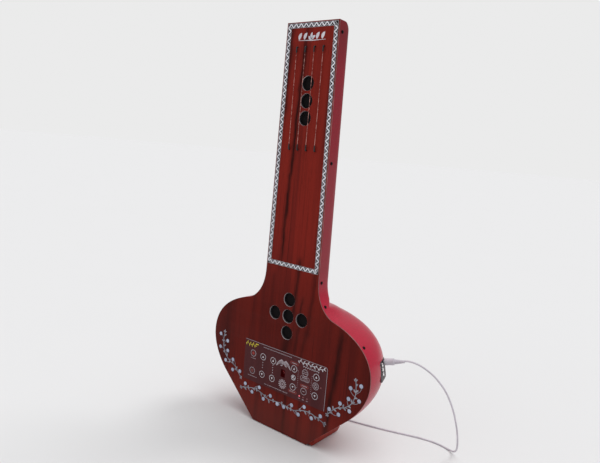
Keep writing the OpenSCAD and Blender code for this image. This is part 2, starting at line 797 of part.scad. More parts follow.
module wall_adaptor() {
    color([0.72, 0.7, 0.73]) {
        translate(adaptor_at + [0, 5, 0]) cube(adaptor_size - [0, 10, 0]);
        translate(adaptor_at + [5, 0, 0]) cube(adaptor_size - [10, 0, 0]);
        for (x = [5, adaptor_size.x - 5], y = [5, adaptor_size.y - 5])
            translate(adaptor_at + [x, y, 0]) cylinder(h = adaptor_size.z, r = 5);
        translate([adaptor_at.x + adaptor_size.x - eps, adaptor_at.y + adaptor_size.y / 2, 12])
            rotate([0, 90, 0]) rotate_extrude()
                polygon([[0, 0], [4.5, 0], [2.4, 22], [0, 22]]);
    }
}
module adaptor_pins() {
    color([0.8, 0.78, 0.7]) for (s = [-1, 1])
        translate(adaptor_at + [48, adaptor_size.y / 2 + s * 9.5, adaptor_size.z])
            cylinder(h = 19, d = 4);
}

front_board();
rear_shell();
foot_block();
foot_pad();
neck_battens();
rim_blocks();
shell_screws();
neck_border();
vine_decals();
keypad_overlay();
keypad_frame();
key_power();
key_preset();
key_tempo_up();
key_tempo_down();
key_volume_up();
key_volume_down();
key_pitch_up();
key_touch();
key_pitch_down();
key_tuner();
key_store();
key_fine_up();
key_fine_mode();
key_fine_down();
key_switches();
keypad_circuit();
keypad_screws();
display_window();
display_module();
indicator_leds();
strings();
string_sleeves();
string_lugs();
body_speaker_basket();
body_speaker_cone();
body_speaker_magnet();
neck_speaker_basket();
neck_speaker_cone();
neck_speaker_magnet();
body_cloth();
neck_cloth();
speaker_screws();
main_circuit();
circuit_standoffs();
heat_sink();
socket_plate();
audio_sockets();
power_socket();
socket_circuit();
inner_wiring();
lead_connector();
lead_relief();
lead_tube();
lead_coil();
coil_tie();
lead_end();
wall_adaptor();
adaptor_pins();
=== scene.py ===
import bpy
import bmesh
import math
import numpy as np
from mathutils import Matrix, Vector


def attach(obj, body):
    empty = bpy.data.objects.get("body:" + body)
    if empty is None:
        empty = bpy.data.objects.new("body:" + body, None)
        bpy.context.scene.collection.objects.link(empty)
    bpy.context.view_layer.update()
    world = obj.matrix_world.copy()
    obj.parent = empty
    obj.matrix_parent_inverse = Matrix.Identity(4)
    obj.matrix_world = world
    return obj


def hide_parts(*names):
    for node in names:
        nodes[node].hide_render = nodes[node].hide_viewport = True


# An electronic tanpura on its own foot, with its low-voltage lead.
# Shapes are worked out in millimetres, with depth measured back from the board's front face,
# and makePiece turns them into metres in the frame's own axes.

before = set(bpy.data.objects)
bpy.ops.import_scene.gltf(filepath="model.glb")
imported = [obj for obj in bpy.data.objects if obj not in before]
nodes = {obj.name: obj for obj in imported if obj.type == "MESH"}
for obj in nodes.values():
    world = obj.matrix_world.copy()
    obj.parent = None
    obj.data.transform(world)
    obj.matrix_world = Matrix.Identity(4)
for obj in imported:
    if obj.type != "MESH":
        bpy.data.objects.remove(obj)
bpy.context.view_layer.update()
scene = bpy.context.scene
mm = 0.001
frontY = -45.0  # the board's front face in the frame
body = "instrument"
print("frame loaded:", len(nodes), "CAD nodes")

# camera: angles in radians, distances in metres
view = dict(azimuth=0.6514282, elevation=0.1458069, roll=0.0864254, distance=0.9995868,
            target=(0.0108611, -0.045, 0.3880354), lens=33.6, sensor=36.0, clip=(0.02, 50))


def placed(name, data):
    piece = bpy.data.objects.new(name, data)
    scene.collection.objects.link(piece)
    return piece


def aimCamera(v):
    # back = from the target to the camera; the other two axes are turned about it by the roll
    az, el = v["azimuth"], v["elevation"]
    back = Vector((math.sin(az) * math.cos(el), -math.cos(az) * math.cos(el), math.sin(el)))
    side = (-back).cross(Vector((0, 0, 1))).normalized()
    up = side.cross(-back)
    c, s = math.cos(v["roll"]), math.sin(v["roll"])
    place = Vector(v["target"]) + back * v["distance"]
    data = bpy.data.cameras.new("studioCamera")
    data.lens, data.sensor_width = v["lens"], v["sensor"]
    data.clip_start, data.clip_end = v["clip"]
    turned = Matrix((c * side + s * up, c * up - s * side, back)).transposed().to_4x4()
    scene.camera = placed("studioCamera", data)
    scene.camera.matrix_world = Matrix.Translation(place) @ turned


aimCamera(view)

# back and front of each printed or stuck-on layer
ink = dict(stem=(-0.05, -0.28), stalk=(-0.05, -0.25), leaf=(-0.05, -0.24), berry=(-0.12, -0.28),
           stemShade=(0.0, -0.1), berryShade=(0.0, -0.12), crest=(-0.02, -0.12),
           crestTop=(-0.02, -0.13), ground=(-0.45, -0.55), pad=(-0.45, -0.58),
           wingHead=(-0.45, -0.60), label=(-0.45, -0.61),
           wingLine=(-0.45, -0.62), key=(-0.85, -0.98), digit=(-0.5, -0.57), light=(7.0, -0.55))


def gridFaces(rows, cols, wrapCols=False, wrapRows=False):
    # quads of a grid of rows x cols points, with its last column or row joined to the first
    r = np.arange(rows if wrapRows else rows - 1)[:, None]
    c = np.arange(cols if wrapCols else cols - 1)[None, :]
    r1, c1 = (r + 1) % rows, (c + 1) % cols
    return np.stack([r * cols + c, r * cols + c1, r1 * cols + c1, r1 * cols + c], -1).reshape(-1, 4)


def copies(shape, faces, centres):
    # one shape, its points as (m, 3), set down at each centre in X and Z
    places = np.insert(np.asarray(centres, float), 1, 0.0, axis=1)
    firsts = np.arange(len(places)) * len(shape)
    verts = places[:, None] + shape[None]
    return verts.reshape(-1, 3), (faces[None] + firsts[:, None, None]).reshape(-1, 4)


def joined(parts):
    # several shapes as one, with each shape's faces counted on from the last
    verts, faces, start = [], [], 0
    for v, f in parts:
        verts.append(np.asarray(v, float))
        faces += (np.asarray(f) + start).tolist()
        start += len(v)
    return np.concatenate(verts), faces


def setSmooth(mesh, angle):
    mesh.polygons.foreach_set("use_smooth", np.ones(len(mesh.polygons), bool))
    mesh.set_sharp_from_angle(angle=math.radians(angle))


def cleaned(mesh, merge=1e-6):
    # doubles merged, slivers removed and faces turned outwards
    bm = bmesh.new()
    bm.from_mesh(mesh)
    bmesh.ops.remove_doubles(bm, verts=bm.verts, dist=merge)
    bmesh.ops.dissolve_degenerate(bm, edges=bm.edges, dist=1e-7)
    bmesh.ops.recalc_face_normals(bm, faces=bm.faces)
    bm.to_mesh(mesh)
    bm.free()
    return mesh


def partsMesh(name, parts):
    verts, faces = joined(parts)
    mesh = bpy.data.meshes.new(name)
    mesh.from_pydata(((verts + [0, frontY, 0]) * mm).tolist(), [], faces)
    return cleaned(mesh)


def finishPiece(name, mesh, finishName, slot, rides=body, replaces=(), angle=40):
    setSmooth(mesh, angle)
    piece = placed(name, mesh)
    if finishName:
        mesh.materials.clear()
        mesh.materials.append(finish[finishName])
    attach(piece, rides)
    if replaces:
        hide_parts(*replaces)
    return piece


def makePiece(name, parts, finishName, slot, **more):
    return finishPiece(name, partsMesh(name, parts), finishName, slot, **more)


def makePrint(name, parts, finishName, **more):
    return makePiece(name, parts, finishName, "silver_print", **{"angle": 30, **more})


def unitRuns(path):
    # the direction of a path at each of its points
    run = np.gradient(path, axis=0)
    return run / np.maximum(np.linalg.norm(run, axis=1), 1e-9)[:, None]


def turnedLeft(flat):
    # (x, z) turned a quarter turn: (-z, x)
    return np.stack([-flat[..., 1], flat[..., 0]], -1)


def smoothPath(points, steps):
    # Catmull-Rom: a smooth curve through the points, with a few steps between each pair
    p = np.asarray(points, float)
    p = np.vstack([p[:1], p, p[-1:]])
    a, b, c, d = (p[i:len(p) - 3 + i, None] for i in range(4))
    t = (np.arange(steps) / steps)[None, :, None]
    linear, square, cube = c - a, 2 * a - 5 * b + 4 * c - d, 3 * b - 3 * c + d - a
    curve = 0.5 * (2 * b + linear * t + square * t ** 2 + cube * t ** 3)
    return np.vstack([curve.reshape(-1, p.shape[1]), p[-2]])


def ribbon(path, widths, layer):
    # a flat band along a path in X and Z: four corners of its section at each point, closed ends
    path = np.asarray(path, float)
    across = turnedLeft(unitRuns(path))
    half = np.broadcast_to(np.asarray(widths, float) / 2, (len(path),))[:, None]
    left, right = path + across * half, path - across * half
    back, front = layer
    corners = ((left, back), (right, back), (right, front), (left, front))
    verts = np.stack([np.insert(s, 1, y, axis=1) for s, y in corners], 1).reshape(-1, 3)
    n = 4 * len(path)
    ends = np.array([[0, 1, 2, 3], [n - 1, n - 2, n - 3, n - 4]])
    return verts, np.vstack([gridFaces(len(path), 4, wrapCols=True), ends])


def circleAngles(sides):
    # equal steps of one whole turn
    return np.arange(sides) * 2 * math.pi / sides


def discs(centres, radius, layer, sides=24, rise=0.0):
    # round plates facing forward: rings at growing radius on the front, which domes by rise,
    # then the back's middle
    back, front = layer
    a = circleAngles(sides)
    share = np.array([0.02, 0.35, 0.65, 0.88, 1.0, 1.0, 0.02])
    depth = np.append(front - rise * np.array([1, 0.88, 0.58, 0.2]), [front + 0.02, back, back])
    across = share[:, None] * radius
    grid = np.stack([across * np.cos(a), depth[:, None] + 0 * a, across * np.sin(a)], -1)
    return copies(grid.reshape(-1, 3), gridFaces(len(share), sides, wrapCols=True), centres)


def rings(centres, inner, outer, layer, sides=40):
    # flat rings: the four corners of the section carried round a circle
    back, front = layer
    a = circleAngles(sides)[:, None]
    r, y = np.array([inner, outer, outer, inner]), np.array([front, front, back, back])
    grid = np.stack([np.cos(a) * r, 0 * a + y, np.sin(a) * r], -1)
    return copies(grid.reshape(-1, 3), gridFaces(sides, 4, wrapCols=True, wrapRows=True), centres)


def sweptTube(path, radii, side, sides=16):
    # a round section carried along a path that bends in the plane at right angles to side
    path, side = np.asarray(path, float), np.asarray(side, float)
    up = np.cross(unitRuns(path), side)
    a = circleAngles(sides)[None, :, None]
    r = np.broadcast_to(np.asarray(radii, float), (len(path),))[:, None, None]
    ring = path[:, None] + r * (np.cos(a) * side + np.sin(a) * up[:, None])
    ends = np.repeat(path[[0, -1], None], sides, axis=1)
    verts = np.concatenate([ends[:1], ring, ends[1:]]).reshape(-1, 3)
    return verts, gridFaces(len(path) + 2, sides, wrapCols=True)


def lathe(profile, place, sides=48, lobes=0.0):
    # a profile of (radius, height) turned about a local Z axis, where place is (origin, xAxis,
    # yAxis, zAxis); lobes makes each radius swell four times round
    p, a = np.asarray(profile, float), circleAngles(sides)
    r = p[:, :1] * (1 + np.reshape(lobes, (-1, 1)) * np.cos(4 * a))
    o, x, y, z = (np.asarray(v, float) for v in place)
    verts = o + (r * np.cos(a))[..., None] * x + (r * np.sin(a))[..., None] * y
    verts = verts + p[:, 1, None, None] * z
    return verts.reshape(-1, 3), gridFaces(len(p), sides, wrapCols=True)


# the lead: its route from the socket to the floor, a coil wound from slot to slot, and its tail;
# a slot is the turn's radius and height
lead = dict(diameter=3.2, length=1.5, exit=(0.205, 0.031, 0.1855),
            coilAt=(20.0, 72.0), turnSteps=28, change=0.16,
            slots=[(17.5, 2.4), (14.3, 2.4), (14.3, 5.6), (14.3, 8.8), (17.5, 8.8), (17.5, 5.6),
                   (20.7, 2.4), (20.7, 5.6), (20.7, 8.8)],
            route=[(205, 31, 185.5), (211, 33, 186.5), (218, 35, 186.4), (227, 38, 184.5),
                   (236, 42, 180.5), (245, 46, 175), (255, 50, 167.5), (264, 54, 158),
                   (272, 60, 146), (279, 67, 130), (285, 75, 110), (289, 84, 87), (291, 94, 63),
                   (290, 105, 40), (286, 117, 21), (278, 129, 8), (266, 138, 2.6), (250, 143, 1.6),
                   (230, 144, 1.6), (208, 140, 1.6), (184, 132, 1.6), (160, 123, 1.6),
                   (134, 114, 1.6), (108, 106, 1.6), (82, 99, 1.6), (58, 93, 1.7), (38, 90, 2.2),
                   (20, 89.5, 2.4)],
            tail=[(20, 92.7, 8.8), (8, 92.7, 9.2), (-4, 92.7, 10.6), (-16, 92.7, 12),
                  (-38, 92.7, 12), (-60, 92.7, 12)])


def leadLine(d):
    # turns whose radius and height ease into the next slot's over the last part of each turn
    turn = np.arange(len(d["slots"]) * d["turnSteps"]) / d["turnSteps"]
    whole, part = turn.astype(int), turn % 1
    slots = np.array(d["slots"] + d["slots"][-1:])
    blend = np.clip((part - 1 + d["change"]) / d["change"], 0, 1)
    blend = (blend * blend * (3 - 2 * blend))[:, None]
    r, z = (slots[whole] * (1 - blend) + slots[whole + 1] * blend).T
    a = math.pi / 2 + 2 * math.pi * turn
    coil = np.stack([d["coilAt"][0] + r * np.cos(a), d["coilAt"][1] + r * np.sin(a), z], 1)
    return np.vstack([smoothPath(d["route"], 3)[:-1], coil, smoothPath(d["tail"], 4)]) * mm


def makeLead(d):
    line = leadLine(d)
    curve = bpy.data.curves.new("powerLead", "CURVE")
    curve.dimensions, curve.use_fill_caps = "3D", True
    curve.bevel_depth, curve.bevel_resolution = d["diameter"] * mm / 2, 3
    spline = curve.splines.new("POLY")
    spline.points.add(len(line) - 1)
    spline.points.foreach_set("co", np.hstack([line, np.ones((len(line), 1))]).ravel())
    spline.use_smooth = True
    curve.materials.append(finish["leadPlastic"])
    piece = placed("powerLead", curve)
    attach(piece, body)
    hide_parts("lead_tube", "lead_coil", "lead_end")
    print("lead length", round(float(np.linalg.norm(np.diff(line, axis=0), axis=1).sum()), 3))
    return piece


# node helpers: a value may be a number, a colour or another node's socket
def newGroup(name, inputs, **outputs):
    # an input's kind follows its value: None is a vector, one number a float, four a colour
    group = bpy.data.node_groups.new(name, "ShaderNodeTree")
    for key, value in inputs.items():
        kind = "Vector" if value is None else "Float" if isinstance(value, float) else "Color"
        socket = group.interface.new_socket(key.replace("_", " "), in_out="INPUT",
                                            socket_type="NodeSocket" + kind)
        if value is not None:
            socket.default_value = value
    for key, kind in outputs.items():
        group.interface.new_socket(key, in_out="OUTPUT", socket_type="NodeSocket" + kind)
    given = group.nodes.new("NodeGroupInput").outputs
    return group, given, group.nodes.new("NodeGroupOutput").inputs


def wire(tree, value, socket):
    if isinstance(value, bpy.types.NodeSocket):
        tree.links.new(value, socket)
    elif value is not None:
        socket.default_value = value


def calc(tree, op, a, b=None, c=None, clamp=False):
    n = tree.nodes.new("ShaderNodeMath")
    n.operation, n.use_clamp = op, clamp
    for socket, v in zip(n.inputs, (a, b, c)):
        wire(tree, v, socket)
    return n.outputs[0]


def times(tree, a, b, clamp=False):
    return calc(tree, "MULTIPLY", a, b, clamp=clamp)


def timesPlus(tree, a, b, c, clamp=False):
    return calc(tree, "MULTIPLY_ADD", a, b, c, clamp)


def minus(tree, a, b):
    return calc(tree, "SUBTRACT", a, b)


def separated(tree, vector):
    n = tree.nodes.new("ShaderNodeSeparateXYZ")
    wire(tree, vector, n.inputs[0])
    return n.outputs["X"], n.outputs["Z"]


def noise(tree, vector, scale, detail=4.0, rough=0.5, distortion=0.0, stretch=None):
    if stretch is not None:
        n = tree.nodes.new("ShaderNodeVectorMath")
        n.operation = "MULTIPLY"
        wire(tree, vector, n.inputs[0])
        n.inputs[1].default_value = stretch
        vector = n.outputs[0]
    n = tree.nodes.new("ShaderNodeTexNoise")
    for key, v in dict(Vector=vector, Scale=scale, Detail=detail, Roughness=rough,
                       Distortion=distortion).items():
        wire(tree, v, n.inputs[key])
    return n.outputs["Fac"]


def mixColour(tree, factor, a, b):
    n = tree.nodes.new("ShaderNodeMix")
    n.data_type = "RGBA"
    for key, v in (("Factor", factor), ("A", a), ("B", b)):
        wire(tree, v, n.inputs[key])
    return n.outputs["Result"]


def ranged(tree, value, low, high, toLow=0.0, toHigh=1.0):
    n = tree.nodes.new("ShaderNodeMapRange")
    n.interpolation_type = "SMOOTHSTEP"
    keys = ("Value", "From Min", "From Max", "To Min", "To Max")
    for key, v in zip(keys, (value, low, high, toLow, toHigh)):
        wire(tree, v, n.inputs[key])
    return n.outputs["Result"]


def shade(r, g, b):
    # an sRGB colour, 0 to 255, as the linear colour that a socket takes
    c = np.array([r, g, b]) / 255
    return (*np.where(c <= 0.04045, c / 12.92, ((c + 0.055) / 1.055) ** 2.4).tolist(), 1.0)


# noise sizes along X, Y and Z: the larger the number, the finer the pattern that way
stretches = dict(bands=(42, 30, 1.3), lines=(260, 160, 4.5), pores=(1500, 700, 60),
                 sway=(4, 1, 16), girth=(10, 1, 26), broken=(420, 1, 22))


def makeFineGrain():
    # two sizes of noise: Height for a faint moulded texture, Shade for slow drifts of colour
    g, given, out = newGroup("fineGrain", dict(Vector=None, Scale=900.0),
                             Height="Float", Shade="Float")
    wire(g, noise(g, given["Vector"], given["Scale"], 3.0, 0.6), out["Height"])
    slow = times(g, given["Scale"], 0.035)
    wire(g, noise(g, given["Vector"], slow, 4.0, 0.55), out["Shade"])
    return g


def makeDarkStreak():
    # a dark band up the sheet: its middle is x0 + lean*s + bend*s*s plus a noise wobble, where s
    # runs -1..1 over its height, and its darkness is a bell across it
    g, given, out = newGroup(
        "darkStreak", dict(Vector=None, Middle=0.0, Lean=0.0, Bend=0.0, Half_Width=0.004,
                           Height=0.2, Half_Height=0.1, Wobble=0.004, Strength=1.0), Mask="Float")
    place = given["Vector"]
    x, z = separated(g, place)
    s = calc(g, "DIVIDE", minus(g, z, given["Height"]), given["Half Height"])
    middle = timesPlus(g, s, given["Lean"], given["Middle"])
    middle = timesPlus(g, times(g, s, s), given["Bend"], middle)
    sway = noise(g, place, 1.0, 3.0, 0.55, stretch=stretches["sway"])
    middle = timesPlus(g, minus(g, sway, 0.5), times(g, given["Wobble"], 4.0), middle)
    girth = timesPlus(g, noise(g, place, 1.0, 2.0, stretch=stretches["girth"]), 1.5, 0.25)
    off = calc(g, "DIVIDE", minus(g, x, middle), times(g, given["Half Width"], girth))
    bell = calc(g, "POWER", 2.718, times(g, times(g, off, off), -1.0))
    fade = ranged(g, calc(g, "ABSOLUTE", s), 0.72, 1.05, 1.0, 0.0)
    broken = noise(g, place, 1.0, 3.0, 0.6, stretch=stretches["broken"])
    broken = timesPlus(g, broken, 1.3, 0.2, clamp=True)
    mask = times(g, times(g, bell, fade), times(g, broken, given["Strength"]), clamp=True)
    wire(g, mask, out["Mask"])
    return g


def makeWoodGrain():
    # rosewood laminate: slow bands across X, fine lines and short pores, all drawn out along Z
    g, given, out = newGroup(
        "woodGrain", dict(Vector=None, Red=(0.16, 0.018, 0.012, 1), Brown=(0.07, 0.010, 0.008, 1),
                          Line=(0.02, 0.006, 0.006, 1)),
        Color="Color", Roughness="Float", Height="Float")
    place = given["Vector"]
    bands = noise(g, place, 1.0, 4.0, 0.55, 0.3, stretches["bands"])
    lines = noise(g, place, 1.0, 4.0, 0.6, 0.15, stretches["lines"])
    pores = noise(g, place, 1.0, 2.0, 0.5, stretch=stretches["pores"])
    poreMask = ranged(g, pores, 0.56, 0.74, 0.0, 0.40)
    colour = mixColour(g, ranged(g, bands, 0.34, 0.62), given["Brown"], given["Red"])
    colour = mixColour(g, ranged(g, lines, 0.52, 0.75, 0.0, 0.62), colour, given["Line"])
    wire(g, mixColour(g, poreMask, colour, given["Line"]), out["Color"])
    wire(g, timesPlus(g, pores, 0.16, 0.30), out["Roughness"])
    wire(g, minus(g, times(g, lines, 0.5), poreMask), out["Height"])
    return g


def makeHandling():
    # soft cloudy marks left by hands and dust, as one mask
    g, given, out = newGroup("handling", dict(Vector=None, Scale=18.0, Amount=0.5), Mask="Float")
    cloud = noise(g, given["Vector"], given["Scale"], 6.0, 0.62, 0.6)
    wire(g, times(g, ranged(g, cloud, 0.48, 0.72), given["Amount"]), out["Mask"])
    return g


groups = dict(fineGrain=makeFineGrain(), darkStreak=makeDarkStreak(), woodGrain=makeWoodGrain(),
              handling=makeHandling())


def useGroup(tree, name, **values):
    # a group placed in a material with its own values
    n = tree.nodes.new("ShaderNodeGroup")
    n.node_tree = groups[name]
    for key, v in values.items():
        wire(tree, v, n.inputs[key.replace("_", " ")])
    return n.outputs


def startMaterial(name, **sockets):
    m = bpy.data.materials.new(name)
    m.use_nodes = True
    t = m.node_tree
    shader = t.nodes["Principled BSDF"].inputs
    for key, v in sockets.items():
        shader[key.replace("_", " ")].default_value = v
    return m, t, shader, t.nodes.new("ShaderNodeTexCoord").outputs["Object"]


def dressShader(tree, shader, colour, rough, height, bump, distance=0.00012):
    wire(tree, colour, shader["Base Color"])
    wire(tree, rough, shader["Roughness"])
    b = tree.nodes.new("ShaderNodeBump")
    b.inputs["Strength"].default_value = bump
    b.inputs["Distance"].default_value = distance
    wire(tree, height, b.inputs["Height"])
    wire(tree, b.outputs["Normal"], shader["Normal"])


def plainFinish(name, colour, other, rough, scale=900.0, bump=0.12, marks=0.25, **sockets):
    # moulded, cast or printed: two near colours drifting into each other, faint grain and marks
    m, t, shader, place = startMaterial(name, **sockets)
    grain = useGroup(t, "fineGrain", Vector=place, Scale=scale)
    mark = useGroup(t, "handling", Vector=place, Scale=30.0, Amount=marks)["Mask"]
    drift = mixColour(t, ranged(t, grain["Shade"], 0.35, 0.65), shade(*colour), shade(*other))
    rough = timesPlus(t, grain["Height"], 0.08, timesPlus(t, mark, 0.25, rough))
    dressShader(t, shader, drift, rough, grain["Height"], bump)
    return m


# middle X, lean, bend, half width, height of the middle, half height and wobble, all in
# millimetres, then strength
streaks = [(-20, 9, 2, 4.2, 535, 225, 3.5, 1.0), (-46, 3, 0, 7, 680, 100, 4, 0.8),
           (111, 11, 0, 5.5, 120, 125, 4, 1.0), (104, 3, 0, 8, 60, 60, 4, 0.5),
           (14, 3, 0, 4.5, 285, 60, 3, 0.85), (26, 4, 0, 4, 215, 60, 4, 0.7),
           (50, 4, 0, 5, 260, 70, 4, 0.6), (40, 6, 0, 5, 180, 45, 5, 0.55),
           (-152, 4, 0, 15, 165, 75, 5, 0.6), (-42, 2, 0, 4, 262, 45, 3, 0.4),
           (2, 4, 0, 9, 172, 24, 4, 0.9), (10, 0, 0, 4.5, 38, 50, 3, 0.85),
           (42, 2, 0, 3.5, 40, 45, 3, 0.6), (-60, 2, 0, 4, 45, 45, 3, 0.4)]


def streaksAndPaintedShade(t, place, colour, dark, paintedShadeTone, nearFloorTone):
    # the laminate's streaks, with painted shade that darkens the body below the neck, and a greyer
    # brown towards the floor
    mask = None
    names = ("Middle", "Lean", "Bend", "Half_Width", "Height", "Half_Height", "Wobble")
    for *sizes, strength in streaks:
        values = {name: size * mm for name, size in zip(names, sizes)}
        one = useGroup(t, "darkStreak", Vector=place, Strength=strength, **values)["Mask"]
        mask = one if mask is None else calc(t, "MAXIMUM", mask, one)
    colour = mixColour(t, mask, colour, dark)
    z = separated(t, place)[1]
    # painted shade: the body darkest from about 0.11 to 0.20 m up, fading by 0.40 m and towards the
    # floor
    paintedBodyShade = times(t, ranged(t, z, 0.20, 0.40, 0.52, 0.0), ranged(t, z, 0.015, 0.11, 0.1, 1.0))
    colour = mixColour(t, paintedBodyShade, colour, paintedShadeTone)
    # a greyer brown towards the floor
    return mixColour(t, ranged(t, z, 0.01, 0.09, 0.55, 0.0), colour, nearFloorTone)


def makeWood(name, red, brown, line, rough=0.0, dark=None, nearFloor=None):
    m, t, shader, place = startMaterial(name, Specular_IOR_Level=0.03)
    wood = useGroup(t, "woodGrain", Vector=place, Red=shade(*red), Brown=shade(*brown),
                    Line=shade(*line))
    colour = wood["Color"]
    if dark:
        colour = streaksAndPaintedShade(t, place, colour, shade(*dark), shade(*line), shade(*nearFloor))
    mark = useGroup(t, "handling", Vector=place, Scale=9.0, Amount=0.4)["Mask"]
    rough = timesPlus(t, mark, 0.12, calc(t, "ADD", wood["Roughness"], rough))
    dressShader(t, shader, colour, rough, wood["Height"], 0.18, 0.00015)
    return m


# the gourd's lacquer colour is painted brighter than the neck's as painted light from above, and
# the neck's top is painted darker as a painted dark reflection
lacquerWithPaintedLight = dict(gourd=[(146, 6, 34), (198, 30, 64)], neck=[(120, 4, 24), (154, 14, 40)],
               neckFrom=(0.26, 0.33), top=(112, 2, 14), paintedReflectionFrom=(0.66, 0.73), marks=(140, 30, 46))


def makeShellFinish(d):
    # crimson gloss lacquer with fine flakes and a little orange peel, brighter over the gourd as
    # painted light and darker at the neck's top as a painted reflection
    m, t, shader, place = startMaterial("glossCrimson", Specular_IOR_Level=0.22, Coat_Weight=0.16,
                                        Coat_Roughness=0.08)
    flakes = ranged(t, noise(t, place, 2600.0, 1.0, 0.5), 0.40, 0.66)
    mark = useGroup(t, "handling", Vector=place, Scale=14.0, Amount=0.5)["Mask"]
    z = separated(t, place)[1]
    gourd, neck = (mixColour(t, flakes, *(shade(*c) for c in d[key])) for key in ("gourd", "neck"))
    # painted light: the gourd's colour is brighter than the neck's
    colour = mixColour(t, ranged(t, z, *d["neckFrom"]), gourd, neck)
    # painted reflection: the neck's top is darkened
    colour = mixColour(t, ranged(t, z, *d["paintedReflectionFrom"], 0.0, 0.8), colour, shade(*d["top"]))
    colour = mixColour(t, times(t, mark, 0.25), colour, shade(*d["marks"]))
    peel = noise(t, place, 260.0, 2.0, 0.5)
    dressShader(t, shader, colour, timesPlus(t, mark, 0.15, 0.30), peel, 0.10, 0.0002)
    return m


def makeFilm(name, colour, other, woodShare):
    # printed film over the wood: the grain shows through it faintly
    m, t, shader, place = startMaterial(name, Specular_IOR_Level=0.08)
    first, second = shade(*colour), shade(*other)
    wood = useGroup(t, "woodGrain", Vector=place, Red=first, Brown=second, Line=second)
    grain = useGroup(t, "fineGrain", Vector=place, Scale=1600.0)
    dressShader(t, shader, mixColour(t, woodShare, first, wood["Color"]),
                timesPlus(t, grain["Height"], 0.15, 0.36), grain["Height"], 0.10, 0.00008)
    return m


def makeCloth(name, dark, pale, threads=5200.0):
    # speaker cloth: two crossed waves make the weave
    m, t, shader, place = startMaterial(name, Roughness=0.95, Specular_IOR_Level=0.1)
    warp, weft = (calc(t, "SINE", times(t, part, threads)) for part in separated(t, place))
    weave = timesPlus(t, times(t, warp, weft), 0.5, 0.5)
    colour = mixColour(t, weave, shade(*dark), shade(*pale))
    dressShader(t, shader, colour, None, weave, 0.5, 0.0002)
    return m


def makeMetal(name, colour, other, rough, stretch=(720, 720, 36), metallic=1.0):
    # turned or drawn metal: noise drawn out along one direction
    m, t, shader, place = startMaterial(name, Metallic=metallic)
    drawn = noise(t, place, 1.0, 4.0, 0.6, stretch=stretch)
    mark = useGroup(t, "handling", Vector=place, Scale=40.0, Amount=0.5)["Mask"]
    colour = mixColour(t, ranged(t, drawn, 0.4, 0.6), shade(*colour), shade(*other))
    rough = timesPlus(t, mark, 0.2, timesPlus(t, drawn, 0.15, rough))
    dressShader(t, shader, colour, rough, drawn, 0.12, 0.0001)
    return m


# two colours, roughness, then what differs from the usual
even = (240, 240, 240)
plainLooks = dict(
    # painted highlight: the front sheet's pale rim
    boardEdgeHighlight=((150, 92, 92), (116, 62, 62), 0.42, dict(marks=0.3)),
    footRubber=((30, 29, 30), (40, 38, 38), 0.8, dict(scale=700.0, bump=0.4)),
    silverPrint=((232, 232, 238), (212, 212, 220), 0.42,
                 dict(scale=1800.0, bump=0.1, Metallic=0.1)),
    borderGround=((24, 18, 20), (36, 28, 30), 0.6,
                  dict(scale=1500.0, bump=0.1, Specular_IOR_Level=0.15)),
    # painted highlight: the pale walls of the front sheet's holes
    holeWallHighlight=((178, 172, 174), (150, 144, 147), 0.6),
    berryFoil=((178, 184, 204), (156, 162, 184), 0.4, dict(scale=1600.0, Metallic=0.1)),
    leafFoil=((148, 148, 158), (120, 118, 128), 0.45, dict(scale=1600.0, Metallic=0.1)),
    darkOutline=((44, 34, 40), (32, 24, 30), 0.55),
    whitePrint=((214, 211, 216), (196, 193, 200), 0.5),
    palePrint=((172, 160, 166), (150, 138, 144), 0.5),
    yellowPrint=((206, 190, 40), (184, 164, 30), 0.5),
    redPrint=((150, 34, 28), (132, 28, 24), 0.5),
    darkRedPrint=((98, 30, 28), (84, 24, 24), 0.5),
    displayWindow=((52, 3, 5), (38, 2, 4), 0.3,
                   dict(scale=500.0, bump=0.02, Specular_IOR_Level=0.0)),
    displaySegment=((140, 16, 22), (120, 10, 16), 0.3),
    ledLit=((236, 110, 120), (220, 90, 100), 0.25,
            dict(marks=0.1, Emission_Color=shade(236, 110, 120), Emission_Strength=0.5)),
    ledDim=((136, 74, 78), (120, 62, 66), 0.25),
    blackPlastic=((30, 30, 32), (40, 39, 42), 0.45),
    circuitBoard=((24, 84, 46), (18, 66, 38), 0.35),
    sleeveRubber=((22, 21, 23), (34, 33, 36), 0.4),
    speakerSteel=((44, 44, 48), (58, 58, 62), 0.4, dict(Metallic=0.7)),
    speakerCone=((26, 25, 26), (36, 34, 35), 0.85, dict(scale=500.0, bump=0.5)),
    socketPlate=((58, 40, 44), (46, 32, 36), 0.4),
    wireInsulation=((170, 34, 30), (150, 26, 24), 0.45),
    leadPlastic=((206, 200, 208), (190, 184, 192), 0.45, dict(scale=1400.0, bump=0.15)),
    adaptorPlastic=((196, 191, 198), (184, 179, 186), 0.5, dict(scale=1100.0, bump=0.3)),
    tiePlastic=((36, 35, 38), (48, 46, 50), 0.5))
metalLooks = dict(
    blackScrew=((38, 38, 40), (20, 20, 22), 0.38, dict(stretch=even)),
    steelScrew=((190, 190, 194), (150, 150, 156), 0.3, dict(stretch=even)),
    # painted highlight: the strings' pale and dark dashes along Z stand in for broken glints
    stringWirePaintedGlints=((214, 160, 150), (112, 58, 54), 0.35, dict(stretch=(12, 12, 180), metallic=0.25)),
    brass=((196, 158, 84), (170, 130, 60), 0.3),
    aluminium=((176, 178, 182), (150, 152, 158), 0.35),
    nickel=((240, 239, 238), (222, 220, 220), 0.32, dict(stretch=even)))
